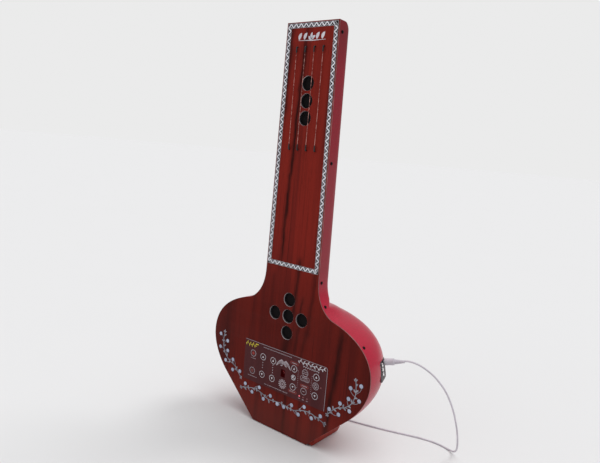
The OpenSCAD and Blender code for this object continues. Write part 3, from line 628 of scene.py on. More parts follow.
finish = dict(
    laminateWood=makeWood("laminateWood", (126, 37, 29), (104, 31, 26), (52, 20, 18),
                          dark=(32, 14, 14), nearFloor=(92, 48, 43)),
    footLaminate=makeWood("footLaminate", (168, 62, 50), (138, 50, 42), (78, 32, 28)),
    blockWood=makeWood("blockWood", (196, 150, 98), (176, 128, 80), (130, 90, 54), 0.25),
    glossCrimson=makeShellFinish(lacquerWithPaintedLight),
    keypadFilm=makeFilm("keypadFilm", (80, 38, 40), (62, 29, 32), 0.55),
    keyFilm=makeFilm("keyFilm", (74, 34, 36), (58, 27, 29), 0.5),
    speakerCloth=makeCloth("speakerCloth", (14, 12, 13), (30, 27, 28)))
for looks, make in ((plainLooks, plainFinish), (metalLooks, makeMetal)):
    for name, (colour, other, rough, *more) in looks.items():
        finish[name] = make(name, colour, other, rough, **(more[0] if more else {}))
print("finishes made:", len(finish))


def dressNode(node, finishName):
    # a CAD part keeps its shape and takes a finish
    for slot in nodes[node].material_slots:
        slot.material = finish[finishName]


dressed = dict(
    blackPlastic="keypad_frame key_switches display_module",
    circuitBoard="keypad_circuit main_circuit socket_circuit",
    steelScrew="keypad_screws speaker_screws", brass="string_lugs circuit_standoffs",
    speakerSteel="body_speaker_basket body_speaker_magnet neck_speaker_basket neck_speaker_magnet",
    speakerCone="body_speaker_cone neck_speaker_cone", speakerCloth="body_cloth neck_cloth",
    aluminium="heat_sink", wireInsulation="inner_wiring", blockWood="neck_battens rim_blocks",
    borderGround="neck_border", keypadFilm="keypad_overlay", displayWindow="display_window")
for finishName, names in dressed.items():
    for node in names.split():
        dressNode(node, finishName)

leadPiece = makeLead(lead)

# the board's outline; corners and curves are of its right half
shape = dict(height=750.0, topHalf=55.5, lowHalf=61.0, lowZ=308.0, wide=(185.0, 154.0), foot=64.5,
             knee=(147.6, 78.4), waist=(97.6, 243.1), pad=1.5, board=6.0, lip=2.0, inset=4.0,
             cut=2.5, waistSlope=0.33, pulls=(18.3, 33.4, 69.1, 11.8, 9.7, 45.8))
footSlope = (shape["knee"][0] - shape["foot"]) / shape["knee"][1]
footRun = np.array([footSlope, 1.0]) / math.hypot(footSlope, 1)
waistRun = np.array([-1, shape["waistSlope"]]) / math.hypot(1, shape["waistSlope"])


def bezier(a, b, c, d, steps):
    # a cubic curve from a to d, pulled towards b and c
    t = (np.arange(1, steps + 1) / steps)[:, None]
    a, b, c, d = (np.asarray(v, float) for v in (a, b, c, d))
    return a * (1 - t) ** 3 + 3 * b * t * (1 - t) ** 2 + 3 * c * t * t * (1 - t) + d * t ** 3


def halfOutline(detail):
    # foot corner, straight flank to the knee, then three curves: to the widest point, to the
    # waist and to the neck
    s = shape
    corner = np.array([s["foot"] + footSlope * s["pad"], s["pad"]])
    start, end = corner - [s["cut"], 0], corner + footRun * s["cut"]
    knee, waist, wide = (np.array(s[k]) for k in ("knee", "waist", "wide"))
    low = np.array([s["lowHalf"], s["lowZ"]])
    p = s["pulls"]
    return np.vstack([[start], bezier(start, corner, corner, end, 6), [knee],
                      bezier(knee, knee + p[0] * footRun, wide - [0, p[1]], wide, 14 * detail),
                      bezier(wide, wide + [0, p[2]], waist - p[3] * waistRun, waist, 18 * detail),
                      bezier(waist, waist + p[4] * waistRun, low - [0, p[5]], low, 12 * detail),
                      [[s["topHalf"], s["height"]]]])


outline, fineOutline = halfOutline(2), halfOutline(12)


def halfWidth(z):
    # the outline's X at a height
    return np.interp(z, fineOutline[:, 1], fineOutline[:, 0])


def insetOutline(gap):
    # each point moved inwards at right angles to the outline, with a new corner at the foot
    run = np.gradient(outline, axis=0)
    run /= np.linalg.norm(run, axis=1)[:, None]
    moved = outline + gap * turnedLeft(run)
    keep = moved[outline[:, 1] > shape["knee"][1] - 1]
    keep[:, 1] = np.minimum(keep[:, 1], shape["height"] - gap)
    z = shape["pad"] + gap
    first = [shape["foot"] + footSlope * z - gap * math.hypot(1, footSlope), z]
    return np.vstack([[first], keep])


def flipped(points):
    return np.asarray(points, float) * [-1, 1]


def mirroredLoop(half):
    # the right half upwards, then its mirror downwards
    return np.vstack([half, flipped(half)[::-1]])


board = dict(hole=25.4, bodyHoleZ=228.0, bodyPitch=31.5, neckHoleZ=616.5, neckPitch=29.9,
             opening=(185.0, 71.0), keypadZ=118.75, bevel=0.45, coreBevel=0.1)
bodyHoles = [(dx * board["bodyPitch"], board["bodyHoleZ"] + dz * board["bodyPitch"])
             for dx, dz in ((0, 0), (1, 0), (-1, 0), (0, 1), (0, -1))]
neckHoles = [(0.0, board["neckHoleZ"] + i * board["neckPitch"]) for i in (-1, 0, 1)]
holes = np.array(bodyHoles + neckHoles)


def circleLoop(centre, diameter, steps=64):
    # (cos, sin) of a turn, run backwards as a hole's edge is
    a = -circleAngles(steps)
    return np.stack([np.cos(a), np.sin(a)], 1) * diameter / 2 + centre


def evaluatedMesh(piece):
    # the mesh after its modifiers or its curve's thickness
    bpy.context.view_layer.update()
    state = bpy.context.evaluated_depsgraph_get()
    return bpy.data.meshes.new_from_object(piece.evaluated_get(state))


def sheetMesh(name, loops, y0, y1, bevel):
    # a filled flat curve with its holes, given thickness and rounded edges, then stood upright
    curve = bpy.data.curves.new(name, "CURVE")
    curve.dimensions, curve.fill_mode = "2D", "BOTH"
    curve.extrude = ((y1 - y0) / 2 - bevel) * mm
    curve.bevel_depth, curve.bevel_resolution, curve.offset = bevel * mm, 2, -bevel * mm
    for loop in loops:
        spline = curve.splines.new("POLY")
        spline.points.add(len(loop) - 1)
        flat = np.hstack([loop * mm, np.zeros((len(loop), 1)), np.ones((len(loop), 1))])
        spline.points.foreach_set("co", flat.ravel())
        spline.use_cyclic_u = True
    holder = placed(name + "Curve", curve)
    mesh = evaluatedMesh(holder)
    bpy.data.objects.remove(holder)
    place = Matrix.Translation((0, (frontY + (y0 + y1) / 2) * mm, 0))
    mesh.transform(place @ Matrix.Rotation(math.pi / 2, 4, "X"))
    return cleaned(mesh, 2e-7)


def edgeFinish(mesh, names):
    # finishes of the face, the rim and the round holes' walls; the front sheet's pale rim and hole
    # walls are painted highlight
    mesh.materials.clear()
    for name in names:
        mesh.materials.append(finish[name])
    normals, centres = np.zeros((2, len(mesh.polygons) * 3))
    mesh.polygons.foreach_get("normal", normals)
    mesh.polygons.foreach_get("center", centres)
    side = np.abs(normals[1::3]) < 0.95
    flat = centres.reshape(-1, 3)[:, [0, 2]] / mm
    gap = np.linalg.norm(flat[:, None] - holes[None], axis=2) - board["hole"] / 2
    kinds = np.where(side & (gap < 0.2).any(1), 2, side * 1)
    mesh.polygons.foreach_set("material_index", kinds.astype(np.int32))


corners = np.array([(-1, -1), (-1, 1), (1, 1), (1, -1)]) * np.array(board["opening"]) / 2
holeLoops = [circleLoop(c, board["hole"]) for c in holes] + [corners + [0, board["keypadZ"]]]
sheets = [("frontBoard", outline, 0.0, shape["lip"], board["bevel"],
           ("laminateWood", "boardEdgeHighlight", "holeWallHighlight")),
          ("frontBoardCore", insetOutline(shape["inset"]), shape["lip"], shape["board"],
           board["coreBevel"], ("laminateWood", "laminateWood", "blackPlastic"))]
for name, half, y0, y1, bevel, finishNames in sheets:
    mesh = sheetMesh(name, [mirroredLoop(half)] + holeLoops, y0, y1, bevel)
    edgeFinish(mesh, finishNames)
    finishPiece(name, mesh, None, "laminate_wood", replaces=("front_board",), angle=30)
print("board made")

# the rear shell, with the dome's powers and heights above and below its middle
shell = dict(floor=52.0, wall=3.0, domeZ=181.4, domeUp=80.0, domeDown=135.4, domePower=2.4,
             depth=132.0, gourdPower=2.6, neckPower=8.0, neckLow=38.0, neckTop=36.0, topRound=14.0,
             blend=7.0, edge=1.0, neckFrom=200, blendFrom=215, powerFrom=238, powerOver=34)


def shellDepth(z):
    # the gourd's superellipse dome and the neck's back, joined by a soft maximum
    d, k, r = shell, shell["blend"], shell["topRound"]
    h = np.where(z > d["domeZ"], d["domeUp"], d["domeDown"])
    s = np.clip(1 - np.abs((z - d["domeZ"]) / h) ** d["domePower"], 0, 1)
    dome = d["depth"] * s ** (1 / d["domePower"])
    over = np.clip(z - (shape["height"] - r), 0, r)
    full = np.interp(z, [shape["lowZ"], shape["height"]], [d["neckLow"], d["neckTop"]])
    back = np.where(z < d["neckFrom"], 0, full - r + np.sqrt(r ** 2 - over ** 2))
    gap = np.clip(0.5 + 0.5 * (dome - back) / k, 0, 1)
    return np.where(z < d["blendFrom"], dome, back * (1 - gap) + dome * gap + k * gap * (1 - gap))


def shellPower(z):
    # the section's power: the gourd's below, rising as t^2.5 to the neck's
    t = np.clip((z - shell["powerFrom"]) / shell["powerOver"], 0, 1)
    return shell["gourdPower"] + (shell["neckPower"] - shell["gourdPower"]) * t ** 2.5


def shellRings(z, inset, tuck, columns=97):
    # rings from the right rim round the back to the left rim: x = w*cos^(2/n) and
    # y = lip + (depth - lip)*sin^(2/n), each made smaller by the wall along its own slope
    a = np.linspace(0, math.pi, columns)[None]
    c, s = np.cos(a), np.clip(np.sin(a), 0, 1)
    power = 2 / shellPower(z)[:, None]
    slopeX = (halfWidth(z + 1) - halfWidth(z - 1)) / 2
    slopeY = shellDepth(z + 0.5) - shellDepth(z - 0.5)
    w = halfWidth(z) - inset * np.minimum(3, np.hypot(1, slopeX)) - tuck
    d = shellDepth(z) - inset * np.minimum(3, np.hypot(1, slopeY)) - tuck
    x = w[:, None] * np.sign(c) * np.abs(c) ** power
    y = shape["lip"] + (d[:, None] - shape["lip"]) * s ** power
    return np.stack([x, y, np.broadcast_to(z[:, None], x.shape)], -1)


def shellSurface():
    # the outer skin closed by flat ends, and the inner skin inside it, joined along the rim
    s, top = shell, shape["height"]
    neckEnd = top - s["topRound"]
    bend = np.linspace(0, math.pi / 2, 16)[1:-1]
    z = np.concatenate([np.linspace(s["floor"], 300, 150), np.linspace(304, neckEnd, 40),
                        top - s["topRound"] * np.cos(bend)])
    z = np.unique(np.clip(z, s["floor"], top - s["edge"] * 1.2))
    turn = np.linspace(0, math.pi / 2, 5)
    heights = np.concatenate([z, top - s["edge"] + s["edge"] * np.sin(turn)])
    tuck = np.concatenate([np.zeros(len(z)), s["edge"] * (1 - np.cos(turn))])
    outer, inner = (shellRings(heights, wall, tuck) for wall in (0.0, s["wall"]))
    inner[..., 2] = np.clip(inner[..., 2], s["floor"] + s["wall"], top - s["wall"])
    loop = np.concatenate([outer, inner[:, ::-1]], 1)
    caps = []
    for row in (loop[0], loop[-1]):
        middle = row * [0, 0, 1] + [0, shape["lip"], 0]
        caps.append(np.stack([middle + (row - middle) * k for k in (0.0, 0.5, 0.97)]))
    grid = np.concatenate([caps[0], loop, caps[1][::-1]])
    return grid.reshape(-1, 3), gridFaces(*grid.shape[:2], wrapCols=True)


# the socket plate's own axes: X down it, Y back along it and Z out of it
plate = dict(mid=(175.5, 56.5, 165.5), turn=18.0, lean=12.0, wide=38.0, high=36.0, round=6.0,
             gap=0.4, cutFrom=-12, cutTo=30, jacks=(-11.2, -3.0, 5.2), jackAcross=-7.0,
             power=(-11.5, 9.0))
turn, tip = math.radians(plate["turn"]), math.radians(90 - plate["lean"])
plateX = np.array([math.cos(tip) * math.cos(turn), math.cos(tip) * math.sin(turn), -math.sin(tip)])
plateY = np.array([-math.sin(turn), math.cos(turn), 0.0])
plateZ = np.cross(plateX, plateY)


def onPlate(x, y, z=0.0):
    # the plate's middle plus a step along each of its axes
    return np.array(plate["mid"]) + x * plateX + y * plateY + z * plateZ


def roundedLoop(w, h, r, steps=8):
    # four quarter circles, each set in from its own corner
    a = np.linspace(0, math.pi / 2, steps)
    quarter = np.stack([np.cos(a), np.sin(a)], 1) * r
    turns = [quarter, quarter[::-1] * [-1, 1], quarter * -1, quarter[::-1] * [1, -1]]
    signs = [(1, 1), (-1, 1), (-1, -1), (1, -1)]
    return np.vstack([q + np.array(s) * (w / 2 - r, h / 2 - r) for q, s in zip(turns, signs)])


def closedLoops(loops):
    # a surface through loops of points, closed at each end at the loop's own middle
    mids = [np.repeat(loops[k].mean(0)[None], len(loops[k]), 0) for k in (0, -1)]
    grid = np.stack([mids[0], *loops, mids[1]])
    return grid.reshape(-1, 3), gridFaces(*grid.shape[:2], wrapCols=True)


def cutOpening(piece, block):
    cutter = placed("cutter", partsMesh("cutter", [block]))
    cut = piece.modifiers.new("socketOpening", "BOOLEAN")
    cut.operation, cut.solver, cut.object = "DIFFERENCE", "EXACT", cutter
    done = evaluatedMesh(piece)
    piece.modifiers.clear()
    piece.data = done
    bpy.data.objects.remove(cutter)


shellPiece = makePiece("gourdShell", [shellSurface()], "glossCrimson", "gloss_shell",
                       replaces=("rear_shell",), angle=50)
around = roundedLoop(plate["high"] + plate["gap"], plate["wide"] + plate["gap"], plate["round"])
cutOpening(shellPiece, closedLoops([onPlate(around[:, :1], around[:, 1:], z)
                                    for z in (plate["cutFrom"], plate["cutTo"])]))
setSmooth(shellPiece.data, 50)
print("shell made:", len(shellPiece.data.polygons), "faces")


def finishedCopy(name, node, finishName, slot, width, segments=2):
    # a CAD part whose shape is right, merged and with its edges rounded
    mesh = nodes[node].data.copy()
    bm = bmesh.new()
    bm.from_mesh(mesh)
    bmesh.ops.remove_doubles(bm, verts=bm.verts, dist=2e-6)
    bmesh.ops.dissolve_limit(bm, angle_limit=math.radians(1.0), verts=bm.verts, edges=bm.edges)
    sharp = [e for e in bm.edges
             if len(e.link_faces) == 2 and e.calc_face_angle(0) > math.radians(40)]
    bmesh.ops.bevel(bm, geom=sharp, offset=width * mm, offset_type="OFFSET", segments=segments,
                    profile=0.5, affect="EDGES", clamp_overlap=True)
    bm.to_mesh(mesh)
    bm.free()
    return finishPiece(name, mesh, finishName, slot, replaces=(node,), angle=35)


# name, node, finish, slot, width of the rounded edge and its segments
for row in (("footBlock", "foot_block", "footLaminate", "laminate_wood", 0.8),
            ("footPad", "foot_pad", "footRubber", "rubber", 0.4),
            ("socketPlate", "socket_plate", "socketPlate", "socket_plastic", 0.5),
            ("powerSocket", "power_socket", "blackPlastic", "socket_plastic", 0.3)):
    finishedCopy(*row)
leadPieces = [finishedCopy(*row) for row in (
    ("coilTie", "coil_tie", "tiePlastic", "black_plastic", 0.3),
    ("wallAdaptor", "wall_adaptor", "adaptorPlastic", "adaptor_plastic", 1.2, 3),
    ("adaptorPins", "adaptor_pins", "nickel", "nickel", 0.6, 3))]

# profiles of the audio sockets and their liners, as radius and height above the plate
jackProfile = [(0, -9.5), (1.75, -9.5), (1.8, 1.9), (2.1, 2.4), (3.1, 2.4), (3.5, 2.0), (3.5, 0.3),
               (3.3, 0.0), (2.5, 0.0), (2.5, -3.0), (3.6, -3.1), (3.6, -13.8), (0, -13.8)]
linerProfile = [(0, -8.8), (1.74, -8.8), (1.74, 1.2), (1.2, 1.2), (1.1, -8.2), (0, -8.2)]


def turnedAt(x, y, profile):
    # a profile turned about the plate's Z axis
    return lathe(profile, (onPlate(x, y), plateX, plateY, plateZ), 40)


jacks, liners = ([turnedAt(x, plate["jackAcross"], profile) for x in plate["jacks"]]
                 for profile in (jackProfile, linerProfile))
makePiece("audioSockets", jacks, "nickel", "nickel", replaces=("audio_sockets",), angle=35)
makePiece("socketLiners", liners, "blackPlastic", "black_plastic", angle=35)

connector = dict(length=17.5, gap=2.0, radius=6.0, grooves=5, groove=0.28, plugDepth=6.0, plug=2.7,
                 relief=18.0, thick=4.6, thin=2.4, ribs=7, rib=0.55, end=1.7)


def connectorProfile(d):
    # a barrel with a chamfered nose and shallow cosine grip grooves near its back
    z0, z1, r = d["gap"], d["gap"] + d["length"], d["radius"]
    t = np.linspace(0, 1, 41)
    wave = r - d["groove"] * (0.5 - 0.5 * np.cos(2 * d["grooves"] * math.pi * t))
    nose = [(0, -d["plugDepth"]), (d["plug"], -d["plugDepth"]), (d["plug"], z0), (r - 0.9, z0),
            (r - 0.2, z0 + 0.5), (r, z0 + 1.2), (r, z0 + 6.2)]
    grip = np.linspace(z0 + 6.5, z1 - 1.4, len(t))
    return nose + list(zip(wave, grip)) + [(r - 0.2, z1 - 0.6), (r - 1.1, z1), (0, z1)]


def reliefProfile(d):
    # a taper cut by ribs
    z0, z1 = d["gap"] + d["length"], d["gap"] + d["length"] + d["relief"]
    t = np.linspace(0, 1, 113)
    cut = (np.cos(t * 2 * d["ribs"] * math.pi) < 0) * (t < 0.93)
    taper = zip(d["thick"] + (d["thin"] - d["thick"]) * t - d["rib"] * cut, z0 + t * d["relief"])
    return [(0, z0 - 0.2), (4.4, z0 - 0.2)] + list(taper) + [(d["end"], z1), (0, z1)]


for name, node, profile, angle in (("leadConnector", "lead_connector", connectorProfile, 35),
                                   ("leadRelief", "lead_relief", reliefProfile, 30)):
    leadPieces.append(makePiece(name, [turnedAt(*plate["power"], profile(connector))],
                                "leadPlastic", "lead_plastic", replaces=(node,), angle=angle))
print("lead and sockets made")

# black screws in the shell's sides; lobes make the cross recess
screws = dict(depth=9.5, heights=(731.0, 513.0, 303.0, 262.0, 212.0),
              profile=[(0, -1.0), (2.4, -1.0), (3.0, -0.2), (3.0, 0.35), (2.7, 0.9), (2.1, 1.3),
                       (1.5, 1.5), (1.15, 1.42), (0.75, 0.5), (0.3, 0.2), (0, 0.2)],
              lobes=[0, 0, 0, 0, 0, 0, 0.10, 0.42, 0.5, 0.2, 0])


def screwParts(d):
    # a domed head at each height, square to the shell's side there
    parts, along = [], np.array([0, 1.0, 0])
    for z in d["heights"]:
        a = math.atan(float(halfWidth(z + 1) - halfWidth(z - 1)) / 2)
        for side in (1, -1):
            out = np.array([side * math.cos(a), 0, -math.sin(a)])
            place = ((side * float(halfWidth(z)), d["depth"], z), np.cross(along, out), along, out)
            parts.append(lathe(d["profile"], place, 24, d["lobes"]))
    return parts


makePiece("shellScrews", screwParts(screws), "blackScrew", "black_screw",
          replaces=("shell_screws",), angle=35)

strings = dict(xs=(-28.5, -9.5, 9.5, 28.5), low=531.3, top=707.7, lift=3.0, wire=0.8, inside=9.0,
               sleeve=2.6, sleeveRun=9.7, sleeveInside=2.5, bend=1.4, mouth=0.15)


def stringParts(d):
    # along the front at the lift, with a quarter circle into the board at each end
    a = np.linspace(0, math.pi / 2, 7)
    b, low, high = d["bend"], d["low"], d["top"]
    y = b - d["lift"] - b * np.cos(a)
    down = np.stack([y, low + b - b * np.sin(a)], 1)[::-1]
    up = np.stack([y, high - b + b * np.sin(a)], 1)
    line = np.vstack([[(d["inside"], low)], down, up, [(d["inside"], high)]])
    return [sweptTube(np.insert(line, 0, x, axis=1), d["wire"] / 2, (1, 0, 0), 10) for x in d["xs"]]


def sleeveParts(d):
    # a tube over each end of a string, bent with it into the board
    a, b, parts = np.linspace(0, math.pi / 2, 8), d["bend"], []
    for x in d["xs"]:
        for end, way in ((d["top"], -1), (d["low"], 1)):
            bent = end + way * b * (1 - np.cos(a))
            z = np.concatenate([[end], bent, [end + way * d["sleeveRun"]]])
            y = np.concatenate([[d["sleeveInside"]], b - d["lift"] - b * np.sin(a), [-d["lift"]]])
            r = np.full(len(z), d["sleeve"] / 2)
            r[-1] -= d["mouth"]
            parts.append(sweptTube(np.stack([np.full(len(z), x), y, z], 1), r, (1, 0, 0), 16))
    return parts


makePiece("droneStrings", stringParts(strings), "stringWirePaintedGlints", "string_wire",
          replaces=("strings",), angle=60)
makePiece("stringSleeves", sleeveParts(strings), "sleeveRubber", "black_sleeve",
          replaces=("string_sleeves",), angle=60)

# braided border round the neck: two waved strands and a fine line along each edge
border = dict(wide=8.0, edge=2.0, low=318.5, period=11.2, swing=2.5, strands=(2.0, 0.4), line=0.3,
              lineOut=3.78, lineOver=3.6, back=-0.2, fronts=(-0.4, -0.43), lineFront=-0.35)


def borderRuns(d):
    # the middle line of each side of the border: two flanks, top and bottom
    m = d["edge"] + d["wide"] / 2
    z0, z1 = d["low"] + d["wide"] / 2, shape["height"] - m
    x0, x1 = float(halfWidth(z0)) - m, float(halfWidth(z1)) - m
    return [((x0, z0), (x1, z1)), ((-x0, z0), (-x1, z1)),
            ((-x1, z1), (x1, z1)), ((-x0, z0), (x0, z0))]


def braidParts(d):
    # each strand swings across its run as a sine, the second against the first
    parts = []
    for run in borderRuns(d):
        a, b = np.array(run)
        long = np.linalg.norm(b - a)
        way = (b - a) / long
        out = turnedLeft(way)
        count = round(long / d["period"] * 2)
        s = np.linspace(0, long, count * 10 + 1)
        wave = d["swing"] * np.sin(math.pi * s * count / long)
        for side, strand, front in zip((1, -1), d["strands"], d["fronts"]):
            path = a + s[:, None] * way + side * wave[:, None] * out
            parts.append(ribbon(path, strand, (d["back"], front)))
        ends = np.array([a - d["lineOver"] * way, b + d["lineOver"] * way])
        for side in (1, -1):
            parts.append(ribbon(ends + side * d["lineOut"] * out, d["line"],
                                (d["back"], d["lineFront"])))
    return parts


makePrint("borderBraid", braidParts(border), "silverPrint")

# sprigs of berries: one at the right, its mirror at the left and one along the bottom
sprig = dict(
    sideBerries=[(168, 149), (148, 139), (167, 122), (146, 119), (130, 105), (150, 98), (129, 84),
                 (109, 87)],
    lowBerries=[(92, 67), (55, 71), (73, 56), (26, 64), (43, 52), (8, 54)],
    sideStem=[(107, 77), (122, 93), (140, 101), (153, 113), (159, 132), (157, 154)],
    lowStem=[(0, 59), (16, 57), (32, 56), (48, 62), (66, 65), (82, 62), (100, 57)],
    stem=1.2, stalk=0.8, berry=3.6, stemRim=0.9, berryRim=0.75, leafLong=8.0, leafWide=2.9,
    every=11.0)


def stalkPaths(stem, berries, back):
    # each stalk is a quadratic curve from a point a little way back down the stem to the berry
    near = np.argmin(np.linalg.norm(stem[None] - berries[:, None], axis=2), axis=1)
    start = stem[np.clip(near - back, 0, len(stem) - 1)]
    gap = berries - start
    bow = turnedLeft(gap) * np.where(np.arange(len(berries)) % 2, 0.38, -0.38)[:, None]
    middle = (start + gap * 0.72 + bow)[:, None]
    t = np.linspace(0, 1, 9)[None, :, None]
    return start[:, None] * (1 - t) ** 2 + 2 * middle * t * (1 - t) + berries[:, None] * t ** 2


def leafRibbon(root, angle, long, wide, layer=ink["pad"]):
    # a pointed leaf: its width is a sine along its length with small teeth, its spine bends a bit
    t = np.linspace(0, 1, 15)
    way = np.array([math.cos(angle), math.sin(angle)])
    bend = (0.12 * long * np.sin(math.pi * t))[:, None] * turnedLeft(way)
    spine = np.asarray(root) + long * t[:, None] * way + bend
    width = wide * np.sin(math.pi * t) ** 0.8 * (1 + 0.14 * np.cos(14 * math.pi * t)) + 0.25
    return ribbon(spine, width, layer)


def leafSpots(stem, every):
    # evenly spaced points along a stem, with its heading at each
    along = np.append(0, np.cumsum(np.linalg.norm(np.diff(stem, axis=0), axis=1)))
    at = np.arange(every / 2, along[-1], every)
    spots, after, before = (np.stack([np.interp(at + k, along, stem[:, i]) for i in (0, 1)], 1)
                            for k in (0, 1, -1))
    ahead = after - before
    return spots, np.arctan2(ahead[:, 1], ahead[:, 0])


def sprigParts(d):
    # leaves stand in turn on one side and on both, and three close each end
    side, low = smoothPath(d["sideStem"], 8), smoothPath(d["lowStem"], 8)
    right, under = (np.array(d[key], float) for key in ("sideBerries", "lowBerries"))
    pairs = [(side, right), (flipped(side), flipped(right)),
             (np.vstack([flipped(low)[:0:-1], low]), np.vstack([under, flipped(under)]))]
    green, fruit, dark = [], [], []
    for k, (stem, berries) in enumerate(pairs):
        green.append(ribbon(stem, d["stem"], ink["stem"]))
        dark.append(ribbon(stem, d["stem"] + d["stemRim"], ink["stemShade"]))
        green += [ribbon(path, d["stalk"], ink["stalk"]) for path in stalkPaths(stem, berries, 5)]
        fruit.append(discs(berries, d["berry"], ink["berry"], 28, rise=0.42))
        dark.append(discs(berries, d["berry"] + d["berryRim"], ink["berryShade"], 28))
        for j, (spot, h) in enumerate(zip(*leafSpots(stem, d["every"]))):
            long = d["leafLong"] * (0.8 + 0.25 * math.sin(3.1 * j + k))
            lean = 0.85 + 0.25 * math.sin(2.3 * j)
            green += [leafRibbon(spot, h + s * lean, long, d["leafWide"], ink["leaf"])
                      for s in ((1, -1) if j % 2 else (-1,))]
        for end, back in ((0, 1), (-1, -2)):
            tip = stem[end] - stem[back]
            h = math.atan2(tip[1], tip[0])
            green += [leafRibbon(stem[end], h + s, d["leafLong"] * (0.8 - 0.2 * abs(s)),
                                 d["leafWide"] * 0.75, ink["leaf"]) for s in (-0.75, 0.0, 0.75)]
    return green, fruit, dark


sprigLooks = (("sprigLeaves", "leafFoil", 30), ("sprigBerries", "berryFoil", 50),
              ("sprigShadow", "darkOutline", 30))
for (name, finishName, angle), parts in zip(sprigLooks, sprigParts(sprig)):
    makePrint(name, parts, finishName, replaces=("vine_decals",), angle=angle)
print("strings, border and sprigs made")

# the keys: node, column, row and the kind of mark on each
pitch = 25.4
rows = dict(top=134.8, mid=118.0, low=99.6)
keys = [("key_power", -3, "top", "redDot"), ("key_preset", -3, "low", "darkDot"),
        ("key_tempo_up", -2, "top", "up"), ("key_tempo_down", -2, "low", "down"),
        ("key_volume_up", -1, "top", "up"), ("key_volume_down", -1, "low", "down"),
        ("key_pitch_up", 1, "top", "up"), ("key_touch", 1, "mid", "leaves"),
        ("key_pitch_down", 1, "low", "down"), ("key_tuner", 2, "top", "bars"),
        ("key_store", 2, "low", "dash"), ("key_fine_up", 3, "top", "up"),
        ("key_fine_mode", 3, "mid", "cross"), ("key_fine_down", 3, "low", "down")]
keyLook = dict(cap=(5.7, 6.2), ring=(6.3, 6.85), leafRing=(4.3, 5.1), crossRing=(1.8, 2.5),
               dots=dict(redDot=(3.1, "redPrint"), darkDot=(3.5, "darkRedPrint")))


def bar(x, z, long, wide, angle=0.0, layer=ink["pad"]):
    # a straight stroke, half its length each way from its middle
    way = np.array([math.cos(angle), math.sin(angle)]) * long / 2
    return ribbon(np.array([(x, z) - way, (x, z), (x, z) + way]), wide, layer)


def keyMark(kind, x, z):
    # a ring near the cap's edge, with an arrow, bars or leaves inside it
    layer, at = ink["key"], [(x, z)]
    cap = [rings(at, *keyLook["cap"], layer, 40)]
    if kind in ("up", "down"):
        s = 1 if kind == "up" else -1
        arrow = np.array([(x, z - 1.9 * s), (x, z - 0.2 * s), (x, z + 2.1 * s)])
        return cap + [ribbon(arrow, [4.2, 2.4, 0.2], layer)]
    if kind == "leaves":
        leaves = ((-2.4, -2.2, 0.95, 6.6, 2.7), (-2.9, 1.2, 0.5, 3.6, 1.6),
                  (0.6, -3.2, 0.5, 3.6, 1.6))
        return [rings(at, *keyLook["leafRing"], layer, 32)] + [
            leafRibbon((x + dx, z + dz), angle, long, wide, layer)
            for dx, dz, angle, long, wide in leaves]
    strokes = dict(bars=[(0, 1.7, 9.6, 0.9), (0, -1.7, 9.6, 0.9)], dash=[(0, 0, 4.2, 1.3)],
                   cross=[(0, 3.6, 5.6, 0.8), (0, -3.6, 5.6, 0.8), (3.6, 0, 2.4, 0.7),
                          (-3.6, 0, 2.4, 0.7)]).get(kind, [])
    if kind == "cross":
        cap.append(rings(at, *keyLook["crossRing"], layer, 24))
    return cap + [bar(x + dx, z + dz, long, wide, layer=layer) for dx, dz, long, wide in strokes]


for name, column, row, kind in keys:
    dressNode(name, "keyFilm")
    x, z = column * pitch, rows[row]
    tone = "whitePrint" if kind in ("up", "down", "leaves") else "palePrint"
    makePrint(name + "_mark", keyMark(kind, x, z), tone, rides=name)
    if kind in keyLook["dots"]:
        radius, tone = keyLook["dots"][kind]
        makePrint(name + "_dot", [discs([(x, z)], radius, ink["key"], 24)], tone, rides=name)


def strokeLine(x0, x1, z, high, seed, layer=ink["pad"]):
    # short upright strokes of chance heights crossed by a thin line, in place of wording
    rng = np.random.default_rng(seed)
    parts = []
    for x in np.linspace(x0, x1, int((x1 - x0) / (high * 0.62))):
        h = high * (0.55 + 0.45 * rng.random())
        if rng.random() > 0.12:
            parts.append(bar(float(x), z, h, high * 0.26, math.pi / 2, layer))
    line = bar((x0 + x1) / 2, z - high * 0.12, (x1 - x0) * 0.96, high * 0.16, layer=layer)
    return parts + [line]


def roundedFrame(x0, x1, z0, z1, r, wide):
    # a line round a rounded rectangle
    loop = roundedLoop(x1 - x0, z1 - z0, r) + [(x0 + x1) / 2, (z0 + z1) / 2]
    return ribbon(np.vstack([loop, loop[:1]]), wide, ink["pad"])


def rosette(x, z, radius, petals):
    # a disc and a ring with leaves standing out all round
    parts = [rings([(x, z)], radius * 0.42, radius * 0.56, ink["pad"], 32),
             discs([(x, z)], radius * 0.2, ink["pad"], 20)]
    for a in circleAngles(petals):
        root = (x + radius * 0.58 * math.cos(a), z + radius * 0.58 * math.sin(a))
        parts.append(leafRibbon(root, a + 0.35, radius * 0.5, radius * 0.19))
    return parts


def leafyLine(x0, x1, z, high, every, lean=0.9):
    # a gently waved stem with leaves turned up and down along it, in place of wording
    x = np.linspace(x0, x1, max(12, int(x1 - x0)))
    stem = np.stack([x, z + 0.08 * high * np.sin((x - x0) * 2 * math.pi / (4 * every))], 1)
    parts = [ribbon(stem, high * 0.10, ink["pad"])]
    for i, root in enumerate(np.arange(x0, x1 - every * 0.5, every)):
        long = high * (0.62 if i % 3 else 0.5)
        parts.append(leafRibbon((float(root), z), lean if i % 2 else -lean, long, high * 0.17))
    return parts


wing = dict(path=[(1.4, 134.6), (3.6, 138.6), (8.2, 138.0), (13.0, 134.0), (17.6, 128.6)],
            thin=1.0, swell=6.4, head=(5.2, 141.0), headRadius=2.5, tail=(2.0, 133.6),
            gap=0.75, gaps=[(4.2, 139.6, 3.0, 0.9), (6.6, 137.8, 3.0, 1.6), (7.2, 134.6, 3.1, 1.3)])


